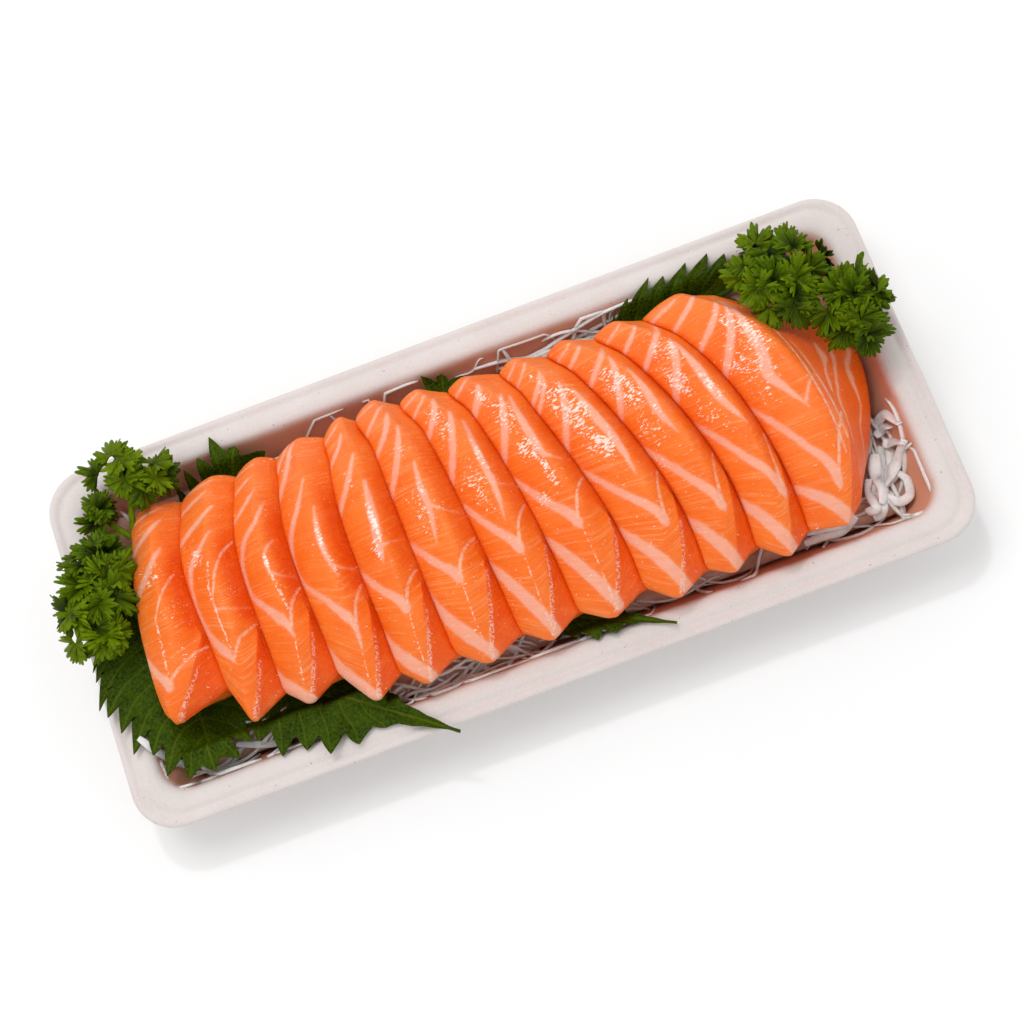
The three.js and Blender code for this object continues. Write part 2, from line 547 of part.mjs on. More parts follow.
// neighbouring sprigs keep to their own side of a thin slot
const slots = [[0, 1, 0.42], [1, 2, 0.32], [0, 2, 0.5], [3, 4, 0.57]].map(([i, j, share]) => {
  const [a, b] = [i, j].map((n) => new THREE.Vector3(...PARSLEY[n].c));
  const slab = new THREE.BoxGeometry(80, SPRIG_GAP, 80).deleteAttribute('normal').deleteAttribute('uv');
  const box = mergeVertices(slab);
  const across = b.clone().sub(a).normalize();
  const turn = new THREE.Quaternion().setFromUnitVectors(new THREE.Vector3(0, 1, 0), across);
  return { of: [i, j], solid: toSolid(box.applyQuaternion(turn).translate(...a.lerp(b, share).toArray())) };
});
PARSLEY.forEach((p, i) => {
  let solid = parsleySolid(p).subtract(blocked);
  for (const slot of slots) if (slot.of.includes(i)) solid = solid.subtract(slot.solid);
  add(p.name, fromSolid(solid, 0.35), looks.parsley);
});
add('daikon_bed', fromSolid(daikonSolid().subtract(blocked), 0.1), looks.daikon);

export default set;
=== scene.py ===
# The look of the salmon sashimi tray: a moulded-fibre tray, twelve leaning salmon slices, shredded
# daikon, shiso leaves and curly parsley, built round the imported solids.
# Lengths in the shape functions are millimetres in the row frame: +X along the row, +Y to the far
# long side, +Z up from the tray's underside.
import math

import bpy
import numpy as np
from mathutils import Matrix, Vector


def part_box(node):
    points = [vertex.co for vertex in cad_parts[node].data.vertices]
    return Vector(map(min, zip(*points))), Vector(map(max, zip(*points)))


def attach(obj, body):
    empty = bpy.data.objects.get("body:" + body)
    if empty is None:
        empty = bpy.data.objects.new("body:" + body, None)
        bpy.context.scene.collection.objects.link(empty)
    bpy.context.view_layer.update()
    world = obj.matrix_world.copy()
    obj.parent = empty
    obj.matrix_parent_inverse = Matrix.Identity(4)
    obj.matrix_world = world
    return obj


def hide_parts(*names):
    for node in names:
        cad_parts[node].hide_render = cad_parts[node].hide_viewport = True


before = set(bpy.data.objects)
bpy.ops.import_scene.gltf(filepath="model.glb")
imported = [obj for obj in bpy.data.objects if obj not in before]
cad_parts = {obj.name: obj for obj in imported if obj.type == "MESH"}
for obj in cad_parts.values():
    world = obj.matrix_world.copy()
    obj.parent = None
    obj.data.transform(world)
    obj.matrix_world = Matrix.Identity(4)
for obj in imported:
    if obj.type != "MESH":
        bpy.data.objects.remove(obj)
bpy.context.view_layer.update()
MM = 0.001
BODY = "root"

# ---- camera, floor and light -----------------------------------------------------------------
CAMERA_AT = (4.48, -158.63, 545.70)     # mm
CAMERA_ELEVATION, CAMERA_AZIMUTH, CAMERA_ROLL = 73.478, 0.870, -21.298
CAMERA_LENS, CAMERA_SENSOR = 70.3125, 36.0
CAMERA_REACH = 0.02, 20    # metres
FLOOR_HALF = 6.0           # metres
WORLD_STRENGTH = 0.82
# direction, distance and size in metres, power in watts
LIGHTS = {"overhead": ((-0.22, 0.3, 1.0), 1.4, 0.7, 4.6), "glint": ((-0.05, 0.42, 1.0), 1.2, 0.09, 1.6)}

# ---- sizes of the solids ---------------------------------------------------------------------
TRAY_L, TRAY_W, TRAY_H = [(b - a) / MM for a, b in zip(*[tuple(c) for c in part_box("tray")])]
CORNER_R = 12.5
FLOOR_Z = 2.6
SLICES = 12
GAP = 0.05                 # the slices cling together
# for each slice, left to right: height of its crown, y of its far end and of its near tip
CROWN_Z = [39.5, 41.5, 43, 44.5, 45.5, 46, 46, 46, 46, 46, 45.5, 45]
FAR_Y = [34.6, 36, 36.4, 37.4, 38.9, 40.2, 38.8, 37.4, 37.3, 37.2, 37.2, 38.2]
NEAR_Y = [-28.2, -34.8, -35.5, -41.1, -41.7, -42.3, -42.3, -42.5, -43.6, -42.4, -43.4, -41]
FAR_Z, NEAR_Z, BED_Z, STEP_DOWN = 27, 31, 13, 8
# x of each groove at four y, from the left of the first slice to the right of the last
GROOVE_Y = [34, 12, -12, -36]
GROOVE_X = [
    [-97.5, -102, -104.4, -101.8], [-81, -87.6, -86.4, -86.6], [-65.1, -71.8, -72, -72.8],
    [-52.8, -57.8, -57.4, -57.1], [-38.5, -42, -41.8, -41.2], [-28.6, -27.6, -26.8, -25.6],
    [-15.3, -11.8, -9.4, -7.5], [-1.8, 3, 6.6, 8.6], [13.4, 18.4, 24.4, 27.2], [27.4, 35.2, 42, 44.5],
    [41.4, 50.3, 57.2, 58.8], [56.2, 66, 71.8, 73.4], [76.5, 87.6, 93.2, 90]]
FAR_HOOK = 2.0             # the grooves bend back by this much over the far ends
# where the crown lies between the two grooves: at the far end, and at the near tip
APEX_SHARE = [0.52, 0.64, 0.6, 0.55, 0.72, 0.65, 0.58, 0.47, 0.5, 0.56, 0.64, 0.74]
TIP_SHARE = [0.19, 0.41, 0.5, 0.6, 0.48, 0.48, 0.5, 0.53, 0.55, 0.58, 0.61, 0.76]
NEAR_NOTCH, FAR_NOTCH = 4.6, 2.2     # how far the grooves end short of the slices' ends
NEAR_UNDERCUT, FAR_UNDERCUT = 2, 6   # and the underside short of the grooves' ends
EDGE_FROM = 0.7            # share of the length where the hard edge leaves the groove
LEAN_FIRST, LEAN_LAST = 46, 35      # degrees
# run per rise of the last slice's free face: at y = 0, its growth per mm of y, its greatest value
END_RUN, END_TWIST, END_RUN_MOST = 0.75, 0.0206, 0.9


# ---- small helpers ---------------------------------------------------------------------------
def mix(a, b, t):
    return a + (b - a) * t


def clamp(v, a, b):
    return np.minimum(b, np.maximum(a, v))


def smooth(t):
    t = clamp(t, 0, 1)
    return t * t * (3 - 2 * t)


def unit(v):
    return v / np.maximum(np.linalg.norm(v, axis=-1, keepdims=True), 1e-9)


def wave_noise(p, seed, octaves=3, lacunarity=2.03):
    """Smooth seeded noise in about -1..1 from sums of sines; p is (..., 3)."""
    rng = np.random.default_rng(seed)
    total, weight, amplitude, scale = 0.0, 0.0, 1.0, 1.0
    for _ in range(octaves):
        for _ in range(4):
            d = unit(rng.normal(size=3)) * scale * rng.uniform(0.7, 1.3)
            total = total + amplitude * np.sin(p @ d + rng.uniform(0, 6.283))
        weight += amplitude * 2.2
        amplitude, scale = amplitude * 0.5, scale * lacunarity
    return total / weight


def smooth_path(points, count):
    """Catmull-Rom curve through points (n, 2) or (n, 3)."""
    p = np.array([points[0], *points, points[-1]], float)
    u = np.linspace(0, len(points) - 1 - 1e-6, count)
    i, f = u.astype(int), (u - u.astype(int))[:, None]
    a, b, c, d = p[i], p[i + 1], p[i + 2], p[i + 3]
    square, cube = 2 * a - 5 * b + 4 * c - d, 3 * b - a - 3 * c + d
    return 0.5 * (2 * b + (c - a) * f + square * f * f + cube * f ** 3)


def piece(name, points, faces, material, replaces, attributes):
    """A closed mesh object from points in mm, riding on the one body."""
    mesh = bpy.data.meshes.new(name)
    mesh.from_pydata((np.asarray(points, float) * MM).tolist(), [], faces)
    mesh.validate()
    mesh.shade_smooth()
    for key, values in attributes.items():
        values = np.asarray(values, np.float32)
        kind, field = ("FLOAT", "value") if values.ndim == 1 else ("FLOAT_VECTOR", "vector")
        mesh.attributes.new(key, kind, "POINT").data.foreach_set(field, values.ravel())
    obj = bpy.data.objects.new(name, mesh)
    bpy.context.scene.collection.objects.link(obj)
    mesh.materials.append(material)
    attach(obj, BODY)
    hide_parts(*replaces)
    return obj


def lofted(rings):
    """Points and faces of a closed body from rings (n, m, 3), with a fan at each end."""
    n, m, _ = rings.shape
    points = np.concatenate([rings.reshape(-1, 3), rings[:1].mean(1), rings[-1:].mean(1)])
    i, j = np.meshgrid(np.arange(n - 1), np.arange(m), indexing="ij")
    a, b = i * m + j, i * m + (j + 1) % m
    faces = np.stack([a, b, b + m, a + m], -1).reshape(-1, 4).tolist()
    first, last = n * m, n * m + 1
    faces += [[(j + 1) % m, j, first] for j in range(m)]
    faces += [[(n - 1) * m + j, (n - 1) * m + (j + 1) % m, last] for j in range(m)]
    here, after = rings[n // 2], rings[n // 2 + 1]
    outward = np.cross(here[1] - here[0], after[0] - here[0])
    if np.dot(outward, here[0] - here.mean(0)) < 0:
        faces = [f[::-1] for f in faces]
    return points, faces


def closed_sheet(first, second):
    """A closed thin body between two grids of points (rows, cols, 3); the first faces columns x rows."""
    rows, cols, _ = first.shape
    n = rows * cols
    i, j = np.meshgrid(np.arange(rows - 1), np.arange(cols - 1), indexing="ij")
    a = (i * cols + j).ravel()
    quads = np.stack([a, a + 1, a + cols + 1, a + cols], 1)
    edge = np.concatenate([np.arange(cols), np.arange(1, rows) * cols + cols - 1,
                           (rows - 1) * cols + np.arange(cols - 2, -1, -1),
                           np.arange(rows - 2, 0, -1) * cols])
    after = np.roll(edge, -1)
    skirt = np.stack([after, edge, edge + n, after + n], 1)
    points = np.concatenate([first.reshape(-1, 3), second.reshape(-1, 3)])
    return points, np.concatenate([quads, quads[:, ::-1] + n, skirt]).tolist()


# ---- materials -------------------------------------------------------------------------------
class Nodes:
    """A material's node tree with a few shorthands."""

    def __init__(self, name):
        self.material = bpy.data.materials.new(name)
        self.material.use_nodes = True
        self.tree = self.material.node_tree
        self.shader = self.tree.nodes["Principled BSDF"]

    def add(self, kind, **settings):
        node = self.tree.nodes.new(kind)
        for key, value in settings.items():
            setattr(node, key, value)
        return node

    def feed(self, socket, value):
        """A link from another node's output, or a constant; a colour may leave out its alpha."""
        if hasattr(value, "is_output"):
            self.tree.links.new(value, socket)
        elif isinstance(value, tuple) and len(value) < len(socket.default_value):
            socket.default_value = (*value, 1.0)
        else:
            socket.default_value = value

    def set(self, node, **values):
        for key, value in values.items():
            self.feed(node.inputs[key.replace("_", " ")], value)
        return node

    def shade(self, **values):
        """The finished material, with these values on its shader."""
        self.set(self.shader, **values)
        return self.material

    def attribute(self, name, output="Fac"):
        return self.add("ShaderNodeAttribute", attribute_name=name).outputs[output]

    def split(self, vector):
        node = self.add("ShaderNodeSeparateXYZ")
        self.feed(node.inputs[0], vector)
        return node.outputs

    def math(self, operation, *values):
        node = self.add("ShaderNodeMath", operation=operation)
        for socket, value in zip(node.inputs, values):
            self.feed(socket, value)
        return node.outputs[0]

    def times(self, first, *rest):
        for value in rest:
            first = self.math("MULTIPLY", first, value)
        return first

    def plus(self, first, *rest):
        for value in rest:
            first = self.math("ADD", first, value)
        return first

    def noise(self, vector, scale, detail=3.0, roughness=0.5, distortion=0.0):
        node = self.add("ShaderNodeTexNoise")
        self.set(node, Vector=vector, Scale=scale, Detail=detail, Roughness=roughness, Distortion=distortion)
        return node.outputs["Fac"]

    def swing(self, noise, reach):
        """Noise round zero."""
        return self.times(self.math("SUBTRACT", noise, 0.5), reach)

    def ramp(self, fac, stops):
        node = self.set(self.add("ShaderNodeValToRGB"), Fac=fac)
        elements = node.color_ramp.elements
        while len(elements) < len(stops):
            elements.new(0.5)
        for element, (position, colour) in zip(elements, stops):
            element.position = position
            element.color = (*colour, 1.0)
        return node.outputs["Color"]

    def range(self, value, low, high, to_low=0.0, to_high=1.0):
        """A smooth step from to_low at low to to_high at high."""
        node = self.add("ShaderNodeMapRange", interpolation_type="SMOOTHSTEP")
        self.set(node, Value=value, From_Min=low, From_Max=high, To_Min=to_low, To_Max=to_high)
        return node.outputs["Result"]

    def blend(self, fac, a, b):
        node = self.add("ShaderNodeMix", data_type="RGBA", clamp_factor=True)
        factor, colour_a, colour_b = node.inputs[0], node.inputs[6], node.inputs[7]
        for socket, value in ((factor, fac), (colour_a, a), (colour_b, b)):
            self.feed(socket, value)
        return node.outputs[2]

    def bump(self, height, distance, strength=0.5, **normal):
        node = self.add("ShaderNodeBump")
        self.set(node, Strength=strength, Distance=distance, Height=height, **normal)
        return node.outputs["Normal"]

    def position(self):
        """Object position in mm."""
        node = self.add("ShaderNodeVectorMath", operation="SCALE")
        self.feed(node.inputs[0], self.add("ShaderNodeTexCoord").outputs["Object"])
        self.set(node, Scale=1 / MM)
        return node.outputs[0]


def srgb(r, g, b):
    """Linear colour from 0..255 sRGB values."""
    return tuple((c / 255 / 12.92) if c <= 10 else ((c / 255 + 0.055) / 1.055) ** 2.4 for c in (r, g, b))


# ---- tray ------------------------------------------------------------------------------------
def rounded_rectangle(half_x, half_y, r, arc=14, long=20, short=9):
    out = []
    corners = [(1, 1, 0), (-1, 1, 90), (-1, -1, 180), (1, -1, 270)]
    for i, (sx, sy, start) in enumerate(corners):
        for k in range(arc + 1):
            a = math.radians(start + 90 * k / arc)
            out.append((sx * (half_x - r) + r * math.cos(a), sy * (half_y - r) + r * math.sin(a)))
        nx, ny, b = corners[(i + 1) % 4]
        b = math.radians(b)
        here = out[-1]
        there = (nx * (half_x - r) + r * math.cos(b), ny * (half_y - r) + r * math.sin(b))
        steps = long if i % 2 == 0 else short
        for k in range(1, steps):
            out.append((mix(here[0], there[0], k / steps), mix(here[1], there[1], k / steps)))
    return np.array(out)


# distance in from the rim edge and height, round the whole section: underside, lip, groove,
# rounded rim, inner wall, floor
TRAY_SECTION = [
    (40, 0), (30, 0), (18.2, 0), (16.9, 0.1), (15.8, 0.45), (14.2, 3.6), (11.8, 9.6), (9.1, 16.2), (8.2, 18),
    (7, 19), (5.6, 19.35), (3.5, 19.5), (1.2, 19.6), (0.45, 19.8), (0.05, 20.3), (0.05, 20.7), (0.4, 21.15),
    (1.0, 21.4), (1.7, 21.45), (2.3, 21.2), (2.9, 20.95), (3.5, 21.15), (4.1, 21.6), (4.9, 21.88), (6.2, 22),
    (7.4, 21.95), (8.3, 21.65), (8.95, 21.1), (9.5, 20.2), (10.4, 18), (11.8, 14.5), (13.4, 10.5), (14.8, 7),
    (15.6, 5.2), (16.5, 3.9), (17.8, 3.05), (19.3, 2.7), (21.5, 2.6), (30, 2.6), (40, 2.6)]
# the section's points from here on are the upper surface, and from here on lie inside the well
UPPER_SURFACE, INNER_WALL = 24, 27
CORNER_LEAST, CORNER_SHRINK = 7.5, 0.45      # corner radius at the floor, and its loss per mm inwards
WOBBLE = 0.14              # moulded fibre is never quite flat


def tray_piece(material):
    rings = []
    for inset, z in TRAY_SECTION:
        r = max(CORNER_LEAST, CORNER_R - CORNER_SHRINK * inset)
        flat = rounded_rectangle(TRAY_L / 2 - inset, TRAY_W / 2 - inset, r)
        p = np.column_stack([flat, np.full(len(flat), float(z))])
        if 0 < z:
            p[:, 2] += WOBBLE * wave_noise(p * [0.05, 0.05, 0.0], 5, 2)
        rings.append(p)
    points, faces = lofted(np.array(rings))
    inside = np.repeat(np.arange(len(rings)) >= INNER_WALL, len(rings[0]))
    return piece("tray_moulded", points, faces, material, ["tray"],
                 {"inside": np.concatenate([inside, [False, True]])})


STAIN_AND_SHADE_TO, STAIN_AND_SHADE_GONE = 18.8, 21.9      # heights: the stain and painted shade are full up to one and nearly gone at the other


def tray_material():
    n = Nodes("moulded fibre")
    p = n.position()
    cloud = n.noise(p, 0.06, 4, 0.6)
    fibre = n.noise(p, 1.6, 6, 0.7, 0.6)
    speck = n.noise(p, 0.9, 2, 0.4)
    colour = n.ramp(cloud, [(0.3, srgb(214, 203, 199)), (0.7, srgb(222, 213, 210))])
    colour = n.blend(n.range(fibre, 0.35, 0.72, 0, 0.6), colour, srgb(229, 221, 218))
    # the well is browner: partly damp and stained by the fish, partly painted shade and the salmon's
    # reflected colour
    height = n.plus(n.split(p)[2], n.swing(cloud, 3.0))
    inside = n.times(n.attribute("inside"), n.range(height, STAIN_AND_SHADE_TO, STAIN_AND_SHADE_GONE, 1, 0.08))
    colour = n.blend(n.times(inside, 0.9), colour, srgb(210, 140, 106))
    colour = n.blend(n.range(speck, 0.73, 0.77, 0, 0.55), colour, srgb(120, 96, 84))
    return n.shade(Base_Color=colour, Roughness=0.78, Specular_IOR_Level=0.25,
                   Normal=n.bump(n.noise(p, 2.6, 6, 0.75), 0.00022, 0.55))


# ---- salmon ----------------------------------------------------------------------------------
def lean(k, y):
    """Run per rise of the cut face right of slice k."""
    if k == SLICES:
        return clamp(END_RUN + END_TWIST * y, 0.02, END_RUN_MOST)
    return math.tan(math.radians(mix(LEAN_FIRST, LEAN_LAST, k / SLICES)))


def groove_x(k, y):
    """x of the groove right of slice k: the cubic through its four points."""
    y = clamp(y, -44, 40)
    total = -FAR_HOOK * smooth((y - 24) / 12)
    for i, yi in enumerate(GROOVE_Y):
        w = 1.0
        for j, yj in enumerate(GROOVE_Y):
            if j != i:
                w = w * (y - yj) / (yi - yj)
        total = total + w * GROOVE_X[k][i]
    return total


TOP_Y = -4                 # the row is highest along this line


def crown_z(k, y):
    top = CROWN_Z[k - 1]
    near = clamp((TOP_Y - y) / (TOP_Y - NEAR_Y[k - 1]), 0, 1.1)
    far = clamp((y - TOP_Y) / (FAR_Y[k - 1] - TOP_Y), 0, 1.1)
    return top - (top - NEAR_Z) * near ** 2.5 - (top - FAR_Z) * far ** 2.2


def groove_z(k, y):
    a, b = crown_z(int(clamp(k, 1, SLICES)), y), crown_z(int(clamp(k + 1, 1, SLICES)), y)
    u = clamp(np.abs(y + 3) / 40, 0, 1)
    return (a + b) / 2 - STEP_DOWN * (1 - 0.45 * u * u)


def bed_z(x, y):
    """Underside of the row: the bed rises towards both long sides and the right end."""
    u = np.where(y < TOP_Y, clamp((TOP_Y - y) / 38, 0, 1.1), clamp((y - TOP_Y) / 42, 0, 1.1))
    return BED_Z + np.where(y < TOP_Y, 8, 7) * u ** 3 + 2.2 * smooth((x - 82) / 22)


def face_x(k, y, z):
    """x of the cut face right of slice k."""
    return groove_x(k, y) + (groove_z(k, y) - z) * lean(k, y)


def far_valley(k):
    """Far end of the groove between slices k and k + 1."""
    if k in (0, SLICES):
        return FAR_Y[max(k, 1) - 1] - 4
    return min(FAR_Y[k - 1], FAR_Y[k]) - FAR_NOTCH


def near_valley(k):
    """Near end of the same groove."""
    if k == 0:
        return NEAR_Y[0] + 3
    return NEAR_Y[k - 1] + NEAR_NOTCH


def crown_share(k, t):
    """Where the soft crown lies between the two grooves, along the length."""
    middle = mix(0.64, 0.76, (k - 1) / (SLICES - 1))
    share = mix(APEX_SHARE[k - 1], middle, smooth(t / 0.35))
    return mix(share, TIP_SHARE[k - 1] - 0.08, smooth((t - 0.68) / 0.32))


def edge_share(k, t):
    """Where the hard edge of the cut face lies: on the groove at first, at the tip in the end."""
    return 1 - (1 - TIP_SHARE[k - 1]) * clamp((t - EDGE_FROM) / (1 - EDGE_FROM), 0, 1) ** 1.4


def slice_control(k, t):
    """Section control points (T, 11, 3) of slice k at the stations t, with the crown as the 7th."""
    far, near, g = FAR_Y[k - 1], NEAR_Y[k - 1], GAP / 2

    def under_reach(i, short=0.0):
        return far_valley(i) - FAR_UNDERCUT - short, near_valley(i) + NEAR_UNDERCUT + short

    reach = {"left": (far_valley(k - 1), near_valley(k - 1)), "crown": (far, near),
             "right": (far_valley(k), near_valley(k)), "under": under_reach(k - 1),
             "foot": under_reach(k, 5.0 if k == SLICES else 0.0)}
    at = {key: mix(a, b, t) for key, (a, b) in reach.items()}

    def bottom(key):
        return bed_z(groove_x(k, at[key]) + 16, at[key])

    def point(x, y, z):
        return np.stack(np.broadcast_arrays(x, y, z), -1)

    def left(z, key, off=0.0):
        return point(face_x(k - 1, at[key], z) + g + off, at[key], z)

    def right(z, key, off=0.0):
        return point(face_x(k, at[key], z) - g - off, at[key], z)

    a, b = groove_x(k - 1, at["crown"]), groove_x(k, at["crown"])
    c, e = crown_share(k, t), edge_share(k, t)
    zl = groove_z(k - 1, at["left"])
    crown = point(a + (b - a) * c, at["crown"], crown_z(k, at["crown"]))
    start = left(zl, "left")
    side = right(groove_z(k, at["right"]), "right")
    # the edge point rides half way down the flank, and as the hard edge from EDGE_FROM on
    hard = smooth((t - EDGE_FROM + 0.06) / 0.1)
    edge_at = mix(0.5, (e - c) / (1 - c), hard)
    drop = edge_at * mix(0.85, mix(1.0, 0.4, smooth((t - EDGE_FROM) / 0.16)), hard)
    edge_x = mix(crown[:, 0], b - g, edge_at)
    edge_y = mix(mix(at["crown"], at["right"], edge_at), at["crown"], smooth((t - 0.8) / 0.2))
    edge = point(edge_x, edge_y, mix(crown[:, 2], side[:, 2], drop))
    lift = np.array([0, 0, 1.0])
    bow = mix(mix(2.0, 1.0, smooth(t / 0.3)), 1.25, smooth((t - 0.8) / 0.2))

    def between(f, up):
        p = mix(start, crown, f) + up * lift
        p[:, 1] = mix(start[:, 1], crown[:, 1], 1 - (1 - f) ** bow)
        return p

    ring = [left(bottom("under"), "under", 1.2), left(bottom("under") + 1.3, "under"),
            left(zl - 1.2, "left"), between(0.12, 0.15), between(0.5, 0.7), between(0.86, 0.3),
            crown, edge, side,
            right(bottom("foot") + 1.3, "foot"), right(bottom("foot"), "foot", 1.2)]
    ring = np.stack(ring, 1)
    # the ends are rounded over: the section flattens, and a cut face's points slide along it
    cap = mix(0.6, 1, (1 - (1 - clamp(t / 0.055, 0, 1)) ** 2) ** 0.5)
    cap = cap * mix(0.7, 1, (1 - (1 - clamp((1 - t) / 0.04, 0, 1)) ** 2) ** 0.5)
    y = ring[..., 1]
    slide = lean(k - 1, y) * np.array([1, 1, 1, 0.88, 0.5, 0.1, 0, 0, 0, 0, 0])
    slide = slide + lean(k, y) * np.array([0, 0, 0, 0, 0, 0, 0, 0.4, 1, 1, 1])
    middle = ring[..., 2].mean(1, keepdims=True)
    z = middle + (ring[..., 2] - middle) * cap[:, None]
    ring[..., 0] += (ring[..., 2] - z) * slide
    ring[..., 2] = z
    return ring


# samples from each control point to the next
SEGMENTS = [2, 4, 5, 15, 15, 5, 9, 11, 5, 2, 4]
END_SEGMENTS = [*SEGMENTS[:8], 44, *SEGMENTS[9:]]      # the last slice's free side shows
ROUND = [0, 0, 0.6, 1, 1, 0.9, 0.9, 0.6, 0, 0, 0]     # how much the curve rounds through the point


def no_longer(v, most):
    return v * np.minimum(1, most / np.maximum(np.linalg.norm(v, axis=-1, keepdims=True), 1e-6))


def section_curve(control, segments):
    """Closed curve through (T, 11, 3) control points; returns (T, M, 3) and the parameter."""
    count = control.shape[1]
    tangent = []
    for i in range(count):
        before, after = control[:, i - 1], control[:, (i + 1) % count]
        tangent.append((after - before) * 0.5 * ROUND[i])
    samples, parameter = [], []
    for i in range(count):
        p, q = control[:, i], control[:, (i + 1) % count]
        chord = np.linalg.norm(q - p, axis=-1, keepdims=True)
        m0, m1 = tangent[i], tangent[(i + 1) % count]
        m0, m1 = no_longer(m0, chord), no_longer(m1, chord)
        if ROUND[i] == 0:
            m0 = q - p
        if ROUND[(i + 1) % count] == 0:
            m1 = q - p
        for s in range(segments[i]):
            u = s / segments[i]
            h = (2 * u**3 - 3 * u**2 + 1, u**3 - 2 * u**2 + u, -2 * u**3 + 3 * u**2, u**3 - u**2)
            samples.append(h[0] * p + h[1] * m0 + h[2] * q + h[3] * m1)
            parameter.append(i + u)
    return np.stack(samples, 1), np.array(parameter)


ROWS = 200                 # stations along a slice
END_CROWDING = 0.11        # how much closer together they lie at the ends


def station_list():
    """Stations along a slice, closer together at the rounded ends."""
    u = np.linspace(0, 1, ROWS)
    return u - END_CROWDING * np.sin(2 * math.pi * u) / (2 * math.pi)


# Fat bands and bands of painted highlight, read off the photo: t runs 0..1 from a slice's far end to its
# tip, s 0..1 from its left groove to its right one.
BROAD, THIN, DASHED, SPECKLED = range(4)      # kinds of band
# far stripes: t and s at the crown, t at the left groove, half width in mm
STRIPES = [
    [(0.05, 0.72, 0.09, 0.35), (0.11, 0.72, 0.24, 0.7), (0.26, 0.73, 0.47, 0.9)],
    [(0.03, 0.7, 0.05, 0.3), (0.08, 0.6, 0.13, 0.5), (0.16, 0.72, 0.27, 0.75)],
    [(0.04, 0.6, 0.06, 0.3), (0.1, 0.5, 0.14, 0.4), (0.17, 0.6, 0.27, 0.6)],
    [(0.01, 0.33, 0.14, 0.5), (0.02, 0.45, 0.26, 0.75)],
    [(0.04, 0.6, 0.1, 0.35), (0.09, 0.6, 0.21, 0.6), (0.2, 0.66, 0.4, 0.8)],
    [(0.03, 0.58, 0.06, 0.3), (0.04, 0.78, 0.15, 0.5), (0.09, 0.73, 0.25, 0.8), (0.17, 0.67, 0.42, 0.9)],
    [(0.03, 0.52, 0.07, 0.35), (0.05, 0.63, 0.13, 0.45), (0.08, 0.68, 0.24, 0.85),
     (0.17, 0.68, 0.44, 0.9)],
    [(0.02, 0.53, 0.09, 0.45), (0.08, 0.52, 0.2, 1), (0.16, 0.67, 0.42, 0.95)],
    [(0.03, 0.44, 0.09, 0.4), (0.05, 0.58, 0.14, 0.4), (0.12, 0.54, 0.24, 0.7), (0.15, 0.5, 0.28, 0.6),
     (0.2, 0.63, 0.45, 0.85)],
    [(0.04, 0.55, 0.09, 0.4), (0.07, 0.6, 0.14, 0.6), (0.1, 0.88, 0.25, 0.8), (0.16, 0.73, 0.42, 0.85)],
    [(0.03, 0.62, 0.09, 0.4), (0.06, 0.74, 0.16, 0.65), (0.08, 1, 0.26, 0.85), (0.18, 0.78, 0.42, 1)],
    [(0.03, 0.58, 0.08, 0.6), (0.04, 0.81, 0.16, 0.75), (0.1, 0.82, 0.28, 0.85), (0.15, 0.75, 0.41, 1)]]
# the pale band on the crown, partly fat and partly a painted highlight of the wet crown, and where its faint
# arm meets the right groove (t)
CREST = [
    None, None, [(0.4, 0.83), (0.45, 0.65), (0.5, 0.62), (0.55, 0.65)],
    [(0.33, 0.7), (0.43, 0.65), (0.5, 0.65), (0.6, 0.71)],
    [(0.32, 0.72), (0.43, 0.66), (0.54, 0.58), (0.61, 0.53)],
    [(0.33, 0.64), (0.42, 0.57), (0.5, 0.56), (0.61, 0.45)],
    [(0.22, 0.8), (0.38, 0.71), (0.5, 0.68), (0.62, 0.58)],
    [(0.17, 0.8), (0.29, 0.69), (0.42, 0.64), (0.46, 0.7)],
    [(0.25, 0.73), (0.37, 0.7), (0.48, 0.71), (0.61, 0.66)],
    [(0.24, 0.77), (0.36, 0.68), (0.45, 0.6), (0.54, 0.65)],
    [(0.2, 0.78), (0.33, 0.68), (0.46, 0.62), (0.59, 0.8)],
    [(0.1, 0.9), (0.26, 0.66), (0.38, 0.54), (0.46, 0.43), (0.53, 0.49), (0.62, 0.61)]]
CREST_HALF = [0, 0, 0.5, 0.85, 1.35, 1, 1, 1.1, 1.3, 1.1, 1.2, 1.5]
CREST_ARM = [None, (0.58, 0.46, 0.6), (0.53, 0.64, 0.55), (0.55, 0.68, 0.57), (0.56, 0.6, 0.54),
    (0.49, 0.57, 0.53), (0.49, 0.68, 0.49), (0.45, 0.66, 0.47), None, None, None, (0.6, 0.6, 0.5)]
# slices 2 to 4: one sweep from the crown to the left groove, along it and back to the middle apex
SWEEPS = {
    2: [(0.27, 0.7), (0.32, 0.5), (0.37, 0.25), (0.42, 0.16), (0.49, 0.11), (0.56, 0.1), (0.63, 0.12),
        (0.69, 0.19), (0.75, 0.34), (0.8, 0.44)],
    3: [(0.24, 0.78), (0.31, 0.6), (0.35, 0.33), (0.4, 0.18), (0.45, 0.11), (0.51, 0.1), (0.57, 0.13),
        (0.62, 0.26), (0.68, 0.43), (0.73, 0.57), (0.79, 0.62)],
    4: [(0.21, 0.6), (0.3, 0.42), (0.35, 0.25), (0.41, 0.11), (0.47, 0.06), (0.53, 0.06), (0.58, 0.14),
        (0.64, 0.33), (0.71, 0.52), (0.76, 0.65), (0.85, 0.62)]}
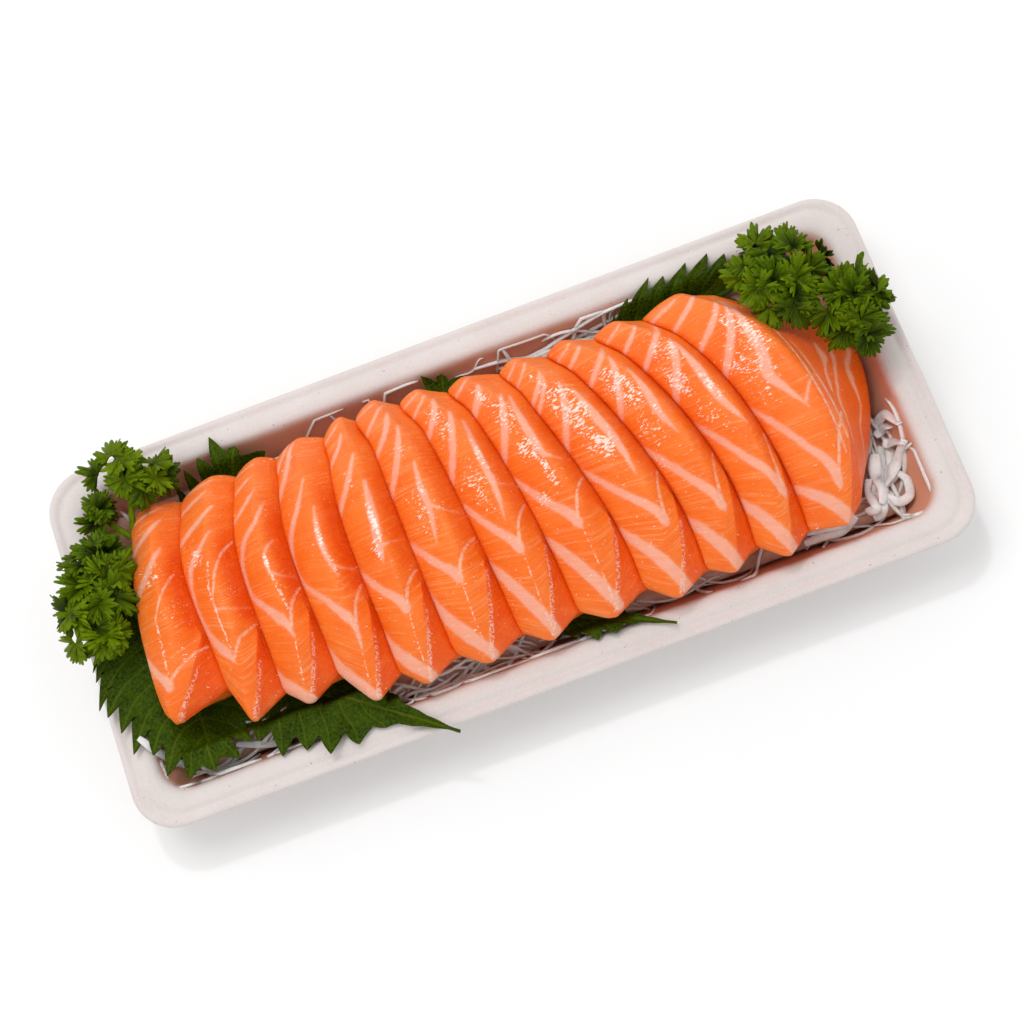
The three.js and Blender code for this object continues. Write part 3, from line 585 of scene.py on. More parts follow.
# the middle V: t at the left groove, t and s at its apex; the near V the same way
MIDDLE = [(0.67, 0.88, 0.3), (0.6, 0.8, 0.44), (0.5, 0.78, 0.62), (0.53, 0.82, 0.64), (0.58, 0.79, 0.61),
    (0.55, 0.76, 0.56), (0.48, 0.74, 0.61), (0.45, 0.72, 0.57), (0.5, 0.8, 0.71), (0.51, 0.83, 0.69),
    (0.49, 0.84, 0.82), (0.52, 0.9, 0.66)]
NEAR = [None, None, (0.84, 1, 0.52), (0.77, 1, 0.59), (0.8, 0.99, 0.56), (0.72, 0.98, 0.54),
    (0.7, 0.98, 0.59), (0.68, 0.97, 0.61), (0.73, 1, 0.73), (0.79, 1, 0.71), (0.78, 1, 0.74),
    (0.83, 0.99, 0.8)]
EDGE_SPECKLES = [0.82, 0.81, 0.78, 0.79, 0.79, 0.73, 0.72, 0.7, 0.78]      # painted highlight along the hard edge: t where its speckles start
# single seams
SEAMS = {
    1: [(THIN, [(0.39, 0.89), (0.44, 0.74), (0.5, 0.59), (0.57, 0.43), (0.63, 0.42)]),
        (DASHED, [(0.6, 0.42), (0.81, 0.35)])],
    2: [(THIN, [(0.32, 1), (0.36, 0.85), (0.42, 0.71), (0.49, 0.58), (0.54, 0.47), (0.59, 0.45)]),
        (DASHED, [(0.38, 0.61), (0.44, 0.54), (0.5, 0.46), (0.59, 0.45), (0.75, 0.44)])],
    3: [(DASHED, [(0.5, 0.62), (0.55, 0.65), (0.63, 0.69), (0.7, 0.7)])],
    12: [(THIN, [(0.25, 0.97), (0.45, 0.86), (0.62, 0.82), (0.8, 0.84)]),
         (THIN, [(0.35, 1), (0.55, 0.93), (0.75, 0.93)])]}
# painted highlights where the wet surface glints: t, s, reach in t, reach in s, share of the surface
GLINTS = [
    [(0.37, 0.45, 0.08, 0.3, 0.5), (0.76, 0.68, 0.05, 0.25, 0.35), (0.56, 0.75, 0.07, 0.25, 0.3)],
    [(0.35, 0.36, 0.05, 0.2, 0.75), (0.5, 0.8, 0.07, 0.15, 0.25)],
    [(0.48, 0.63, 0.05, 0.06, 0.9), (0.47, 0.03, 0.05, 0.06, 0.5)],
    [(0.44, 0.65, 0.08, 0.06, 0.85), (0.55, 0.69, 0.05, 0.08, 0.6), (0.74, 0.63, 0.05, 0.05, 0.5)],
    [(0.47, 0.63, 0.11, 0.08, 1), (0.56, 0.5, 0.05, 0.12, 0.8), (0.3, 0.4, 0.08, 0.2, 0.3)],
    [(0.43, 0.56, 0.06, 0.06, 0.9), (0.49, 0.42, 0.1, 0.22, 0.5), (0.25, 0.53, 0.07, 0.12, 0.5),
     (0.5, 0.75, 0.02, 0.1, 0.5)],
    [(0.37, 0.71, 0.1, 0.08, 0.9), (0.2, 0.4, 0.12, 0.25, 0.6), (0.47, 0.42, 0.12, 0.28, 0.6)],
    [(0.4, 0.5, 0.06, 0.22, 0.95), (0.24, 0.5, 0.14, 0.25, 0.65), (0.5, 0.57, 0.1, 0.08, 0.8),
     (0.58, 0.3, 0.04, 0.18, 0.6), (0.13, 0.35, 0.06, 0.1, 0.8)],
    [(0.3, 0.5, 0.16, 0.32, 0.8), (0.47, 0.5, 0.08, 0.25, 0.9), (0.15, 0.35, 0.06, 0.1, 0.7),
     (0.55, 0.6, 0.06, 0.15, 0.4)],
    [(0.3, 0.42, 0.13, 0.3, 0.85), (0.44, 0.62, 0.05, 0.06, 0.8), (0.48, 0.35, 0.1, 0.25, 0.55),
     (0.6, 0.12, 0.03, 0.1, 0.5)],
    [(0.34, 0.3, 0.1, 0.2, 0.85), (0.22, 0.55, 0.1, 0.25, 0.65), (0.42, 0.64, 0.1, 0.1, 0.9),
     (0.5, 0.35, 0.08, 0.25, 0.45)],
    [(0.27, 0.62, 0.14, 0.25, 0.75), (0.4, 0.38, 0.12, 0.3, 0.55), (0.38, 0.2, 0.06, 0.12, 0.7),
     (0.5, 0.3, 0.08, 0.25, 0.3)]]


def on_top(k, t, s):
    """Point (x, y) on the top of slice k."""
    y = mix(FAR_Y[k - 1], NEAR_Y[k - 1], np.asarray(t, float))
    a, b = groove_x(k - 1, y), groove_x(k, y)
    return np.stack([a + (b - a) * s, y], -1)


FAR_OFF = 99.0             # mm, further than any band reaches


def band_distance(xy, line, widths):
    """Distance in mm from points to a line, less its half width, which varies along it."""
    a, b = line[:-1], line[1:]
    w = np.interp(np.linspace(0, 1, len(line)), np.linspace(0, 1, len(widths)), widths)
    best = np.full(len(xy), FAR_OFF)
    for i in range(len(a)):
        d = b[i] - a[i]
        f = clamp(((xy - a[i]) @ d) / max(d @ d, 1e-9), 0, 1)
        gap = np.hypot(*(xy - a[i] - f[:, None] * d).T) - mix(w[i], w[i + 1], f)
        best = np.minimum(best, gap)
    return best


def bands_of(k):
    """The bands of slice k: kind, points (t, s) and half widths in mm along them."""
    i = k - 1
    t0, ta, sa = MIDDLE[i]
    bands = []
    for crown_t, crown_s, groove_t, half in STRIPES[i]:
        line = [(crown_t, crown_s), (mix(crown_t, groove_t, 0.42), crown_s * 0.64), (groove_t, -0.03)]
        bands.append((BROAD, line, [half * 0.3, half, half * 1.15, half * 0.8]))
    if k in SWEEPS:
        bands.append((BROAD, SWEEPS[k], [0.3, 0.8, 0.75, 0.55, 0.6, 0.8, 1.35, 0.02]))
    else:
        line = [(t0, 0.0), (mix(t0, ta, 0.5), sa * 0.5), (mix(t0, ta, 0.8), sa * 0.9), (ta, sa)]
        bands.append((BROAD, line, [0.4, 0.8, 0.95, 1.05, 1.3, 1.35, 0.02]))
    # the crown's band: partly fat, partly a painted highlight
    if CREST[i]:
        half = CREST_HALF[i]
        bands.append((BROAD, CREST[i], [half * 0.3, half * 0.7, half, half, half * 0.6, 0.05]))
    if CREST_ARM[i]:
        t1, s1, t2 = CREST_ARM[i]
        line = [(t1, s1), (mix(t1, t2, 0.7) + 0.005, mix(s1, 1, 0.5)), (t2, 1.0)]
        bands.append((BROAD, line, [0.6, 0.15, -0.1]))
    # the middle V's thin right arm
    lift = 0.66 * (ta - t0)
    line = [(ta - 0.22 * lift, sa + 0.02)]
    line += [(ta - up * lift, mix(sa, 1, over)) for up, over in ((0.6, 0.4), (0.85, 0.75), (1, 1))]
    bands.append((THIN, line, [0.4, 0.25, 0.2, 0.15]))
    if NEAR[i]:
        t0, t1, s1 = NEAR[i]
        bow = 1.6 if k < 7 else 1.0
        line = [(mix(t0, t1, f), s1 * f ** bow) for f in (0, 0.33, 0.66, 1)]
        bands.append((BROAD, line, [0.5, 1.2, 1.45, 1.7, 1.4]))
        if k < 9:
            line = [(ta, sa), (mix(ta, 0.95, 0.5), mix(sa, s1, 0.5) - 0.03), (0.95, s1 - 0.05)]
            bands.append((DASHED, line, [0.02, 0.06]))
    # the speckles along the hard edge are a painted highlight
    if k <= len(EDGE_SPECKLES):
        line = [(t, float(edge_share(k, t))) for t in np.linspace(EDGE_SPECKLES[i], 0.99, 5)]
        bands.append((SPECKLED, line, [0.05, 0.1, 0.2, 0.35, 0.45]))
    for kind, line in SEAMS.get(k, ()):
        bands.append((kind, line, [0.15, 0.25, 0.15]))
    return bands


# pale layers on the last slice's free side: y and depth below the groove line, in mm
FLANK = [
    [(9, 12), (5, 10.9), (-4.8, 5.3), (-11, 2.4), (-22, 1)],
    [(8, 17.5), (-1, 14.2), (-9.9, 14.9), (-16.2, 11.1), (-25, 13)],
    [(8, 22.5), (-4.4, 24.3), (-14.3, 23.5), (-24.8, 21.5)], [(10, 8), (4, 6.8), (-2, 3.4), (-8, 0.8)]]


def flank_bands(points):
    """Signed distance to the pale layers of the free side."""
    place = np.stack([points[:, 1], groove_z(SLICES, points[:, 1]) - points[:, 2]], -1)
    place = place + 0.5 * np.stack([wave_noise(points * 0.5, 71, 2), wave_noise(points * 0.7, 72, 3)], -1)
    out = np.full(len(points), FAR_OFF)
    for line in FLANK:
        out = np.minimum(out, band_distance(place, smooth_path(line, 30), [0.3, 0.75, 0.35, 0.6, 0.2]))
    return out


def slice_bands(k, points, across):
    """Signed distances in mm to the nearest band of each kind at each point, (N, 4)."""
    out = np.full((len(points), 4), FAR_OFF)
    for kind, line, widths in bands_of(k):
        t, s = smooth_path(line, 10 * len(line)).T
        out[:, kind] = np.minimum(out[:, kind], band_distance(points[:, :2], on_top(k, t, s), widths))
    if k == SLICES:
        out[across > 2, :] = FAR_OFF
        out[:, BROAD] = np.where(across > 2, flank_bands(points), out[:, BROAD])
    return clamp(out, -4, 12)


SOFTENINGS = 26            # passes that round the crown


def soften(rings, parameter, t):
    """Rounds the crown across the slice, but not the hard edge near the tip."""
    near_crown = smooth((parameter - 3.6) / 1.2) * smooth((7.9 - parameter) / 0.6)
    keep_edge = smooth((parameter - 6.2) / 0.5)[None, :] * smooth((t - EDGE_FROM + 0.1) / 0.1)[:, None]
    share = (near_crown[None, :] * (1 - 0.93 * keep_edge))[..., None]
    for _ in range(SOFTENINGS):
        flat = (np.roll(rings, 1, 1) + np.roll(rings, -1, 1)) / 4 + rings / 2
        rings = rings + (flat - rings) * share
    return rings


def painted_shade_and_glints(k, points):
    """Per point: 0..1 for the painted shade on the flank right of the crown, and for the share of painted
    glints.
    """
    t = (FAR_Y[k - 1] - points[:, 1]) / (FAR_Y[k - 1] - NEAR_Y[k - 1])
    left, right = groove_x(k - 1, points[:, 1]), groove_x(k, points[:, 1])
    s = (points[:, 0] - left) / (right - left)
    # painted shade on the flank right of the crown, weaker from the fifth slice on
    painted_shade = smooth((s - 0.68) / 0.25) * smooth((t - 0.2) / 0.15) * smooth((0.68 - t) / 0.06)
    painted_glint = np.zeros(len(points))
    for t0, s0, dt, ds, share in GLINTS[k - 1]:
        painted_glint = np.maximum(painted_glint, share * smooth(1.25 - np.hypot((t - t0) / dt, (s - s0) / ds)))
    return painted_shade * (1 if k < 5 else 0.45), painted_glint


def slice_piece(k, material):
    t = station_list()
    rings, parameter = section_curve(slice_control(k, t), END_SEGMENTS if k == SLICES else SEGMENTS)
    rings = soften(rings, parameter, t)
    # across: 0 at the left groove, 1 on the crown, 2 at the right groove, 3 at the right foot
    across = np.interp(parameter, [2.0, 6.0, 8.0, 11.0], [0, 1, 2, 3])
    along = np.broadcast_to(t[:, None], rings.shape[:2])
    across = np.broadcast_to(across[None, :], rings.shape[:2])
    points, faces = lofted(rings)
    cut = np.stack([along, across, np.full(along.shape, float(k))], -1).reshape(-1, 3)
    cut = np.concatenate([cut, [[0.0, 0.5, k], [1.0, 0.5, k]]])
    bands = slice_bands(k, points, cut[:, 1])
    painted_shade, painted_glint = painted_shade_and_glints(k, points)
    # the flesh swells between the bands and is uneven; nothing moves at the shared faces
    free = smooth(cut[:, 1] / 0.25) * smooth(((3 if k == SLICES else 2) - cut[:, 1]) / 0.25)
    swell = 0.22 * smooth(bands[:, BROAD] / 2.2) - 0.16 * smooth((0.3 - bands[:, THIN]) / 0.5)
    uneven = 0.3 * wave_noise(points * [0.16, 0.16, 0.1], 40 + k, 3)
    uneven = uneven + 0.1 * wave_noise(points * 0.9, 60 + k, 2)
    points[:, 2] += free * (swell - 0.2 + uneven)
    return piece(f"salmon_cut_{k:02d}", points, faces, material, [f"salmon_slice_{k:02d}"],
                 {"cut": cut, "band": bands[:, :SPECKLED], "speckle": bands[:, SPECKLED], "painted_shade": painted_shade,
                  "painted_glint": painted_glint})


FLESH_LOW, FLESH_HIGH = srgb(250, 112, 26), srgb(255, 126, 40)
# FLESH_DEEP is the dark of the fine lines; the other colour is painted shade
FLESH_DEEP, FLESH_PAINTED_SHADE = srgb(244, 92, 12), srgb(236, 78, 6)
STRIA = srgb(255, 156, 96)
FAT, FAT_EDGE, FAT_SEAM = srgb(249, 178, 152), srgb(254, 148, 92), srgb(250, 186, 158)
# white of the dashed line's dots and of the painted glints
PALE_DOTS_AND_GLINT = srgb(255, 236, 224)
SIDE, SIDE_FAT = srgb(252, 98, 8), srgb(246, 160, 118)
STRIAE = 125.0             # fine lines along a slice
GLINT_TURN = -34           # degrees
GLINT_STRETCH = (0.42, 1.35, 0.7)


def salmon_material():
    n = Nodes("raw salmon")
    p = n.position()
    along, across, number = n.split(n.attribute("cut", "Vector"))
    broad, thin, dashed = n.split(n.attribute("band", "Vector"))
    soft = n.noise(p, 0.35, 3, 0.55)
    fine = n.noise(p, 1.9, 4, 0.65)

    # flesh: warm orange with fine pale lines across the slice
    flesh = n.ramp(n.noise(p, 0.085, 3, 0.5), [(0.3, FLESH_LOW), (0.7, FLESH_HIGH)])
    bend = n.times(n.math("POWER", n.math("ABSOLUTE", n.math("SUBTRACT", across, 0.9)), 2.0), 2.6)
    lines_at = n.set(n.add("ShaderNodeCombineXYZ"), X=n.plus(n.times(along, STRIAE), bend),
                     Y=n.times(across, 1.1), Z=n.times(number, 3.7)).outputs[0]
    lines = n.noise(lines_at, 1.0, 2, 0.6, 0.3)
    strength = n.range(n.noise(lines_at, 0.16, 2), 0.36, 0.6, 0.25, 1)
    flesh = n.blend(n.times(n.range(lines, 0.5, 0.66), n.times(strength, 0.6)), flesh, STRIA)
    flesh = n.blend(n.times(n.range(lines, 0.46, 0.3), 0.22), flesh, FLESH_DEEP)

    # painted shade: darker leaf-shaped areas on the flank right of the crown and on the face past the hard
    # edge; and the free side's own deeper orange
    face = n.times(n.range(across, 1.47, 1.55), n.range(along, 0.69, 0.75))
    painted_shade = n.math("MAXIMUM", n.attribute("painted_shade"), n.times(face, 0.9))
    flesh = n.blend(n.times(painted_shade, n.range(soft, 0.25, 0.6, 0.6, 1), 0.8), flesh, FLESH_PAINTED_SHADE)
    side = n.range(across, 1.98, 2.05)
    flesh = n.blend(n.times(side, 0.92), flesh, SIDE)

    # fat: broad bands, thin seams and the dashed line towards the tip; and the speckled hard edge, a painted
    # highlight
    ragged = n.swing(fine, 0.9)
    edge = n.plus(broad, ragged, n.swing(soft, 0.8))
    colour = n.blend(n.range(edge, 1.2, -0.4, 0, 0.3), flesh, FAT_EDGE)
    core = n.times(n.range(edge, 0.35, -0.45), n.range(lines, 0.3, 0.7, 0.96, 0.7))
    colour = n.blend(core, colour, FAT)
    seam = n.range(n.plus(thin, n.times(ragged, 0.35)), 0.3, -0.1)
    broken = n.range(n.noise(p, 0.9, 3, 0.6), 0.36, 0.56, 0.25, 0.9)
    colour = n.blend(n.times(seam, broken), colour, FAT_SEAM)
    dashes = n.times(n.range(n.plus(dashed, n.times(ragged, 0.25)), 0.26, 0.05),
                     n.range(n.noise(p, 1.2, 2, 0.5), 0.5, 0.56, 0, 0.7))
    # painted highlight: white speckles along the hard edge
    speckle = n.times(n.range(n.attribute("speckle"), 0.45, -0.05),
                      n.range(n.noise(p, 1.7, 2, 0.6), 0.5, 0.55), 0.6)
    colour = n.blend(n.times(n.math("MAXIMUM", dashes, speckle), 0.85), colour, PALE_DOTS_AND_GLINT)
    colour = n.blend(n.times(core, side, 0.6), colour, SIDE_FAT)

    # painted highlights: short white strokes across the slice standing in for wet glints, in the clusters of
    # the photo
    turned = n.set(n.add("ShaderNodeMapping"), Vector=p, Rotation=(0, 0, math.radians(GLINT_TURN)),
                   Scale=GLINT_STRETCH)
    fleck = n.noise(turned.outputs[0], 1.55, 3, 0.6, 0.4)
    cluster = n.range(n.noise(p, 0.3, 2, 0.5), 0.35, 0.6, 0.6, 1.15)
    cover = n.plus(fleck, n.times(n.attribute("painted_glint"), cluster, 0.23))
    colour = n.blend(n.times(n.range(cover, 0.685, 0.71), 0.92), colour, PALE_DOTS_AND_GLINT)

    grain = n.bump(n.plus(n.times(lines, 0.5), n.times(fine, 0.35)), 0.0006)
    return n.shade(Base_Color=colour, Roughness=n.range(fine, 0.3, 0.7, 0.26, 0.42),
                   Specular_IOR_Level=0.22, Coat_Weight=0.06, Coat_Roughness=0.12, Subsurface_Weight=0.3,
                   Subsurface_Radius=(1.0, 0.32, 0.12), Subsurface_Scale=0.0026,
                   Normal=n.bump(fleck, 0.0008, Normal=grain))


# ---- shiso -----------------------------------------------------------------------------------
def inset_of(x, y):
    """Distance in from the rim edge."""
    dx, dy = TRAY_L / 2 - np.abs(x), TRAY_W / 2 - np.abs(y)
    corner = CORNER_R - np.hypot(CORNER_R - dx, CORNER_R - dy)
    return np.where((dx < CORNER_R) & (dy < CORNER_R), corner, np.minimum(dx, dy))


def tray_top(inset):
    """Height of the tray's upper surface."""
    upper = np.array(TRAY_SECTION[UPPER_SURFACE:])
    return np.interp(inset, upper[:, 0], upper[:, 1])


FIRST_X, PITCH = -88, 16.4      # middle of the first slice, and from slice to slice


def climb(x, y):
    """0 under the row, rising to 1 where a leaf has climbed to the level of the rim."""
    i = clamp(np.floor((x - FIRST_X) / PITCH + 0.5), 1, SLICES).astype(int) - 1
    j = np.minimum(i + 1, SLICES - 1)
    far, near = np.array(FAR_Y), np.array(NEAR_Y)
    up = smooth((y - np.maximum(far[i], far[j]) - 0.2) / 5)
    up = np.maximum(up, smooth((np.minimum(near[i], near[j]) + 3.4 - y) / 4.4))
    return np.maximum(up, np.maximum(smooth((-90 - x) / 16), smooth((x - 104) / 6)))


def leaf_z(x, y, level):
    rim = TRAY_H + 1.2 + level - 0.22 * clamp(-inset_of(x, y), 0, 9)
    return mix(bed_z(x, y) - 2.1 + level, rim, climb(x, y))


# base, tip, half width, how blunt the tip is, teeth a side, how far they sweep forward, level above
# the heap
LEAVES = {
    "shiso_leaf_1": ((-99, 20), (-96, -42.5), 24, 0.9, 8, 1.0, 1),
    "shiso_leaf_2": ((-86, -14), (-31, -55.5), 15.5, 0.2, 7, 0.3, 0),
    "shiso_leaf_3": ((-84, 12), (-64, 42.5), 12.5, 0.6, 6, 0.8, 0),
    "shiso_leaf_4": ((-9, 20), (-3, 42), 7.5, 0.6, 4, 0.8, 0),
    "shiso_leaf_5": ((38, 26), (85.5, 41.5), 10.5, 0.5, 7, 1.1, 0),
    "shiso_leaf_6": ((-4, -29), (33, -48.5), 6, 0.2, 6, 0.6, 0)}
LEAF_THICK = 0.42
BROAD_LEAF = 14            # half width over which a leaf has more teeth
LEAF_COLS, ROWS_PER_TOOTH = 45, 32


def leaf_piece(name, material):
    (bx, by), (tx, ty), half, blunt, teeth, sweep, level = LEAVES[name]
    length = math.hypot(tx - bx, ty - by)
    dx, dy = (tx - bx) / length, (ty - by) / length
    u = np.linspace(0, 1, teeth * ROWS_PER_TOOTH + 1)[:, None]
    v = np.linspace(-1, 1, LEAF_COLS)[None, :]
    body = np.sin(math.pi * clamp(u, 1e-4, 1 - 1e-4) ** mix(0.58, 0.85, blunt)) ** 0.9
    body = body * (1 - mix(0.6, 0.1, blunt) * u) * mix(1.3, 1.02, blunt)
    drawn_out = smooth((0.35 - blunt) / 0.1) * smooth((u - 0.5) / 0.3)      # a long bare point
    body = body * (1 - 0.5 * drawn_out)
    # pointed teeth that bend towards the tip
    count = round(teeth * (1.45 if half > BROAD_LEAF else 1.2)) + 0.5
    spike = 1 - np.abs(2 * ((u * count) % 1.0) - 1)
    size = 1 + 0.25 * np.sin(2.4 * np.floor(u * count) + teeth)
    spike = spike ** 0.75 * smooth(u / 0.08) * smooth((1.0 - u) / 0.12) * size * (1 - 0.95 * drawn_out)
    rim = np.abs(v) ** (5 if half > BROAD_LEAF else 3.5)
    finger = min(6.0, 0.52 * half)
    width = np.maximum(half * body, 0.5) * 0.84 + finger * mix(1.0, 0.6, sweep) * spike * rim
    s, w = u * length + finger * sweep * spike * rim * np.abs(v), v * width
    x, y = bx + dx * s - dy * w, by + dy * s + dx * w
    # a side vein runs out to every tooth
    steps = (u * count - 0.5) + 1.3 * (1 - np.abs(v) ** 1.15)
    off = np.abs(steps - np.round(steps)) * length / count
    vein = np.minimum(off * 0.8 + 0.12, np.abs(w))
    free = smooth(climb(x, y) * 2 - 0.6)
    curl = 0.9 * np.sin(u * 17 + v * 2.3 + teeth) * np.abs(v) ** 1.5 * free
    curl = curl + 1.1 * rim * spike * np.sin(37 * u + teeth) * free
    z = leaf_z(x, y, level) + np.maximum(0.0, curl) + 0.34 * smooth(vein / 1.6) - 0.1
    points, faces = closed_sheet(np.stack([x, y, z - LEAF_THICK / 2], -1),
                                 np.stack([x, y, z + LEAF_THICK / 2], -1))
    veins = np.tile(vein.ravel(), 2)
    return piece(name + "_blade", points, faces, material, [name], {"vein": veins})


def shiso_material():
    n = Nodes("shiso leaf")
    p = n.position()
    vein = n.attribute("vein")
    cells = n.set(n.add("ShaderNodeTexVoronoi", feature="DISTANCE_TO_EDGE"), Vector=p, Scale=0.75)
    net = cells.outputs["Distance"]
    colour = n.ramp(n.noise(p, 0.16, 4, 0.6), [(0.3, srgb(26, 42, 0)), (0.7, srgb(52, 74, 0))])
    colour = n.blend(n.times(n.range(n.noise(p, 1.4, 3), 0.4, 0.7), 0.4), colour, srgb(78, 106, 0))
    colour = n.blend(n.range(vein, 0.5, 0.1, 0, 0.55), colour, srgb(92, 106, 16))
    colour = n.blend(n.range(net, 0.14, 0.02, 0, 0.35), colour, srgb(70, 88, 6))
    return n.shade(Base_Color=colour, Roughness=n.range(n.noise(p, 0.8, 3), 0.3, 0.7, 0.42, 0.66),
                   Specular_IOR_Level=0.07, Subsurface_Weight=0.08, Subsurface_Radius=(0.3, 0.6, 0.1),
                   Subsurface_Scale=0.0012, Normal=n.bump(net, 0.0009))


# ---- small closed bodies joined into one mesh ------------------------------------------------
def tube_rings(path, radius, sides, flat=1.0, roll=0.0):
    """Rings round a path (n, 3); radius may vary along it, and flat squeezes the section."""
    n = len(path)
    tangent = unit(np.gradient(path, axis=0))
    side = unit(np.cross(tangent, [0.0, 0.0, 1.0]) + [1e-6, 0, 0])
    up = np.cross(side, tangent)
    angle = np.arange(sides) * 2 * math.pi / sides
    turn = roll * np.linspace(0, 1, n)[:, None]
    c, s = np.cos(angle)[None, :, None], flat * np.sin(angle)[None, :, None]
    e = side[:, None] * np.cos(turn)[..., None] + up[:, None] * np.sin(turn)[..., None]
    f = -side[:, None] * np.sin(turn)[..., None] + up[:, None] * np.cos(turn)[..., None]
    return path[:, None] + np.broadcast_to(radius, n)[:, None, None] * (e * c + f * s)


class Heap:
    """Joins many small closed bodies into one mesh, whose points carry two values each."""

    def __init__(self):
        self.points, self.faces, self.values, self.count = [], [], [], 0

    def add(self, points, faces, values):
        """values is a row for each point, or one row for all."""
        self.points.append(points)
        self.faces.extend((np.asarray(f) + self.count).tolist() for f in faces)
        self.values.append(np.broadcast_to(values, (len(points), 2)))
        self.count += len(points)

    def piece(self, name, material, slot, replaces, keys):
        return piece(name, np.concatenate(self.points), self.faces, material, replaces,
                     dict(zip(keys, np.concatenate(self.values).T)))


# ---- parsley ---------------------------------------------------------------------------------
# centre, half sizes, turn about z in degrees, seed, rosettes, stem
PARSLEY = {
    "parsley_left_stalk": ((-92.8, 42, 29), (13.5, 8.8, 5.5), -20, 5, 8,
                           [(-98, 27.5, 25), (-96, 34, 28), (-94, 40, 28.5)]),
    "parsley_left_middle": ((-105, 35.4, 27.5), (5, 6.5, 4), -20, 8, 4,
                            [(-99, 27.5, 24.8), (-101, 30, 26), (-103.5, 33, 27)]),
    "parsley_left": ((-111, 11.5, 30.5), (11.7, 18.4, 7.5), -18, 11, 19,
                     [(-99, 25, 24.4), (-104, 21, 27), (-109, 15, 29)]),
    "parsley_right_inner": ((91.6, 29, 33.5), (13.5, 14.5, 7.5), -20, 23, 16,
                            [(98, 19, 31.5), (96, 22, 32), (93, 25, 33)]),
    "parsley_right_outer": ((107.2, 12.6, 33.5), (10.4, 12.8, 6.5), -20, 31, 12,
                            [(102, 20, 31.5), (104, 18, 32), (106, 15, 33)])}
LEAFLET_THICK = 0.28
GOLDEN_TURN = 2.39996      # radians from one rosette to the next


def fan(size, rng, teeth=10, rings=6):
    """One leaflet: three wedge-shaped lobes with short blunt teeth, growing along +Y."""
    f = np.arange(teeth * 5 + 1) / (teeth * 5)
    side = 2 * f - 1
    a = side * math.radians(rng.uniform(58, 80))
    tooth = (1 - np.abs(2 * ((f * teeth) % 1.0) - 1) ** 1.3) ** 0.9
    cleft = np.exp(-((np.abs(side) - rng.uniform(0.3, 0.42)) / 0.075) ** 2)
    lobe = 1 - 0.12 * side ** 2 + 0.13 * np.sin(7 * f + rng.uniform(0, 6))
    lobe = lobe + 0.07 * np.sin(19 * f + rng.uniform(0, 6))
    edge = (0.76 + 0.24 * tooth) * lobe * (1 - 0.5 * cleft)
    r = np.linspace(0.05, 1, rings)[:, None]
    reach = size * r * edge
    fold = size * 0.1 * np.cos(3 * math.pi * side) * r
    bend = size * (rng.uniform(-0.42, 0.15) * r ** 2 + 0.1 * np.sin(4 * a + rng.uniform(0, 6)) * r ** 2)
    return np.stack(np.broadcast_arrays(reach * np.sin(a), reach * np.cos(a), fold + bend), -1)


def thin_sheet(surface, thick):
    """A closed thin body on both sides of a grid of points (rows, cols, 3)."""
    along, over = np.gradient(surface, axis=(0, 1))
    offset = unit(np.cross(over, along)) * thick / 2
    return closed_sheet(surface + offset, surface - offset)


def add_rosette(heap, rng, h, i, centre, radii, place):
    """Three or four leaflets round one spot at height h, -1..1, on the sprig."""
    a = i * GOLDEN_TURN + rng.uniform(-0.35, 0.35)
    w = math.sqrt(max(0.0, 1 - h * h))
    spot = np.array([w * math.cos(a), w * math.sin(a), h])
    face = unit(spot * [0.8, 0.8, 1.0] + [0, 0, 0.8] + rng.normal(size=3) * 0.3)
    out = unit(np.array([math.cos(a), math.sin(a), 0.0]) + rng.normal(size=3) * 0.25)
    out = unit(out - face * (out @ face))
    other = np.cross(face, out)
    leaflets, arc = (3, 2.2) if h < 0.55 else (4, 4.4)
    tone, low = rng.uniform(), rng.uniform(0.7, 1.0)
    for j in range(leaflets):
        spread = (j / (leaflets - 1) - 0.5) * arc + rng.uniform(-0.35, 0.35)
        rise = rng.uniform(-0.2, 0.75)
        level = out * math.cos(spread) + other * math.sin(spread)
        grow = unit(level * math.cos(rise) + face * math.sin(rise))
        across = unit(np.cross(grow, face + rng.normal(size=3) * 0.3))
        size = rng.uniform(5.0, 7.6) * min(1.0, 0.45 + radii[1] / 19)
        root = spot * radii - out * size * mix(0.95, 0.2, h) - face * 0.8 * low
        surface = fan(size, rng)
        # painted shade: leaflets darker towards their roots and on the lower rosettes
        depth = np.linspace(0.05, 1, surface.shape[0])[:, None] * np.ones(surface.shape[1])
        depth = np.tile(depth.ravel() * mix(0.45, 1.0, smooth(h + 0.25)), 2)
        axes = np.stack([across, grow, np.cross(across, grow)])
        points, faces = thin_sheet(centre + (root + surface @ axes) @ place.T, LEAFLET_THICK)
        heap.add(points, faces, np.stack([depth, np.full(len(points), tone + rng.uniform(-0.2, 0.2))], -1))


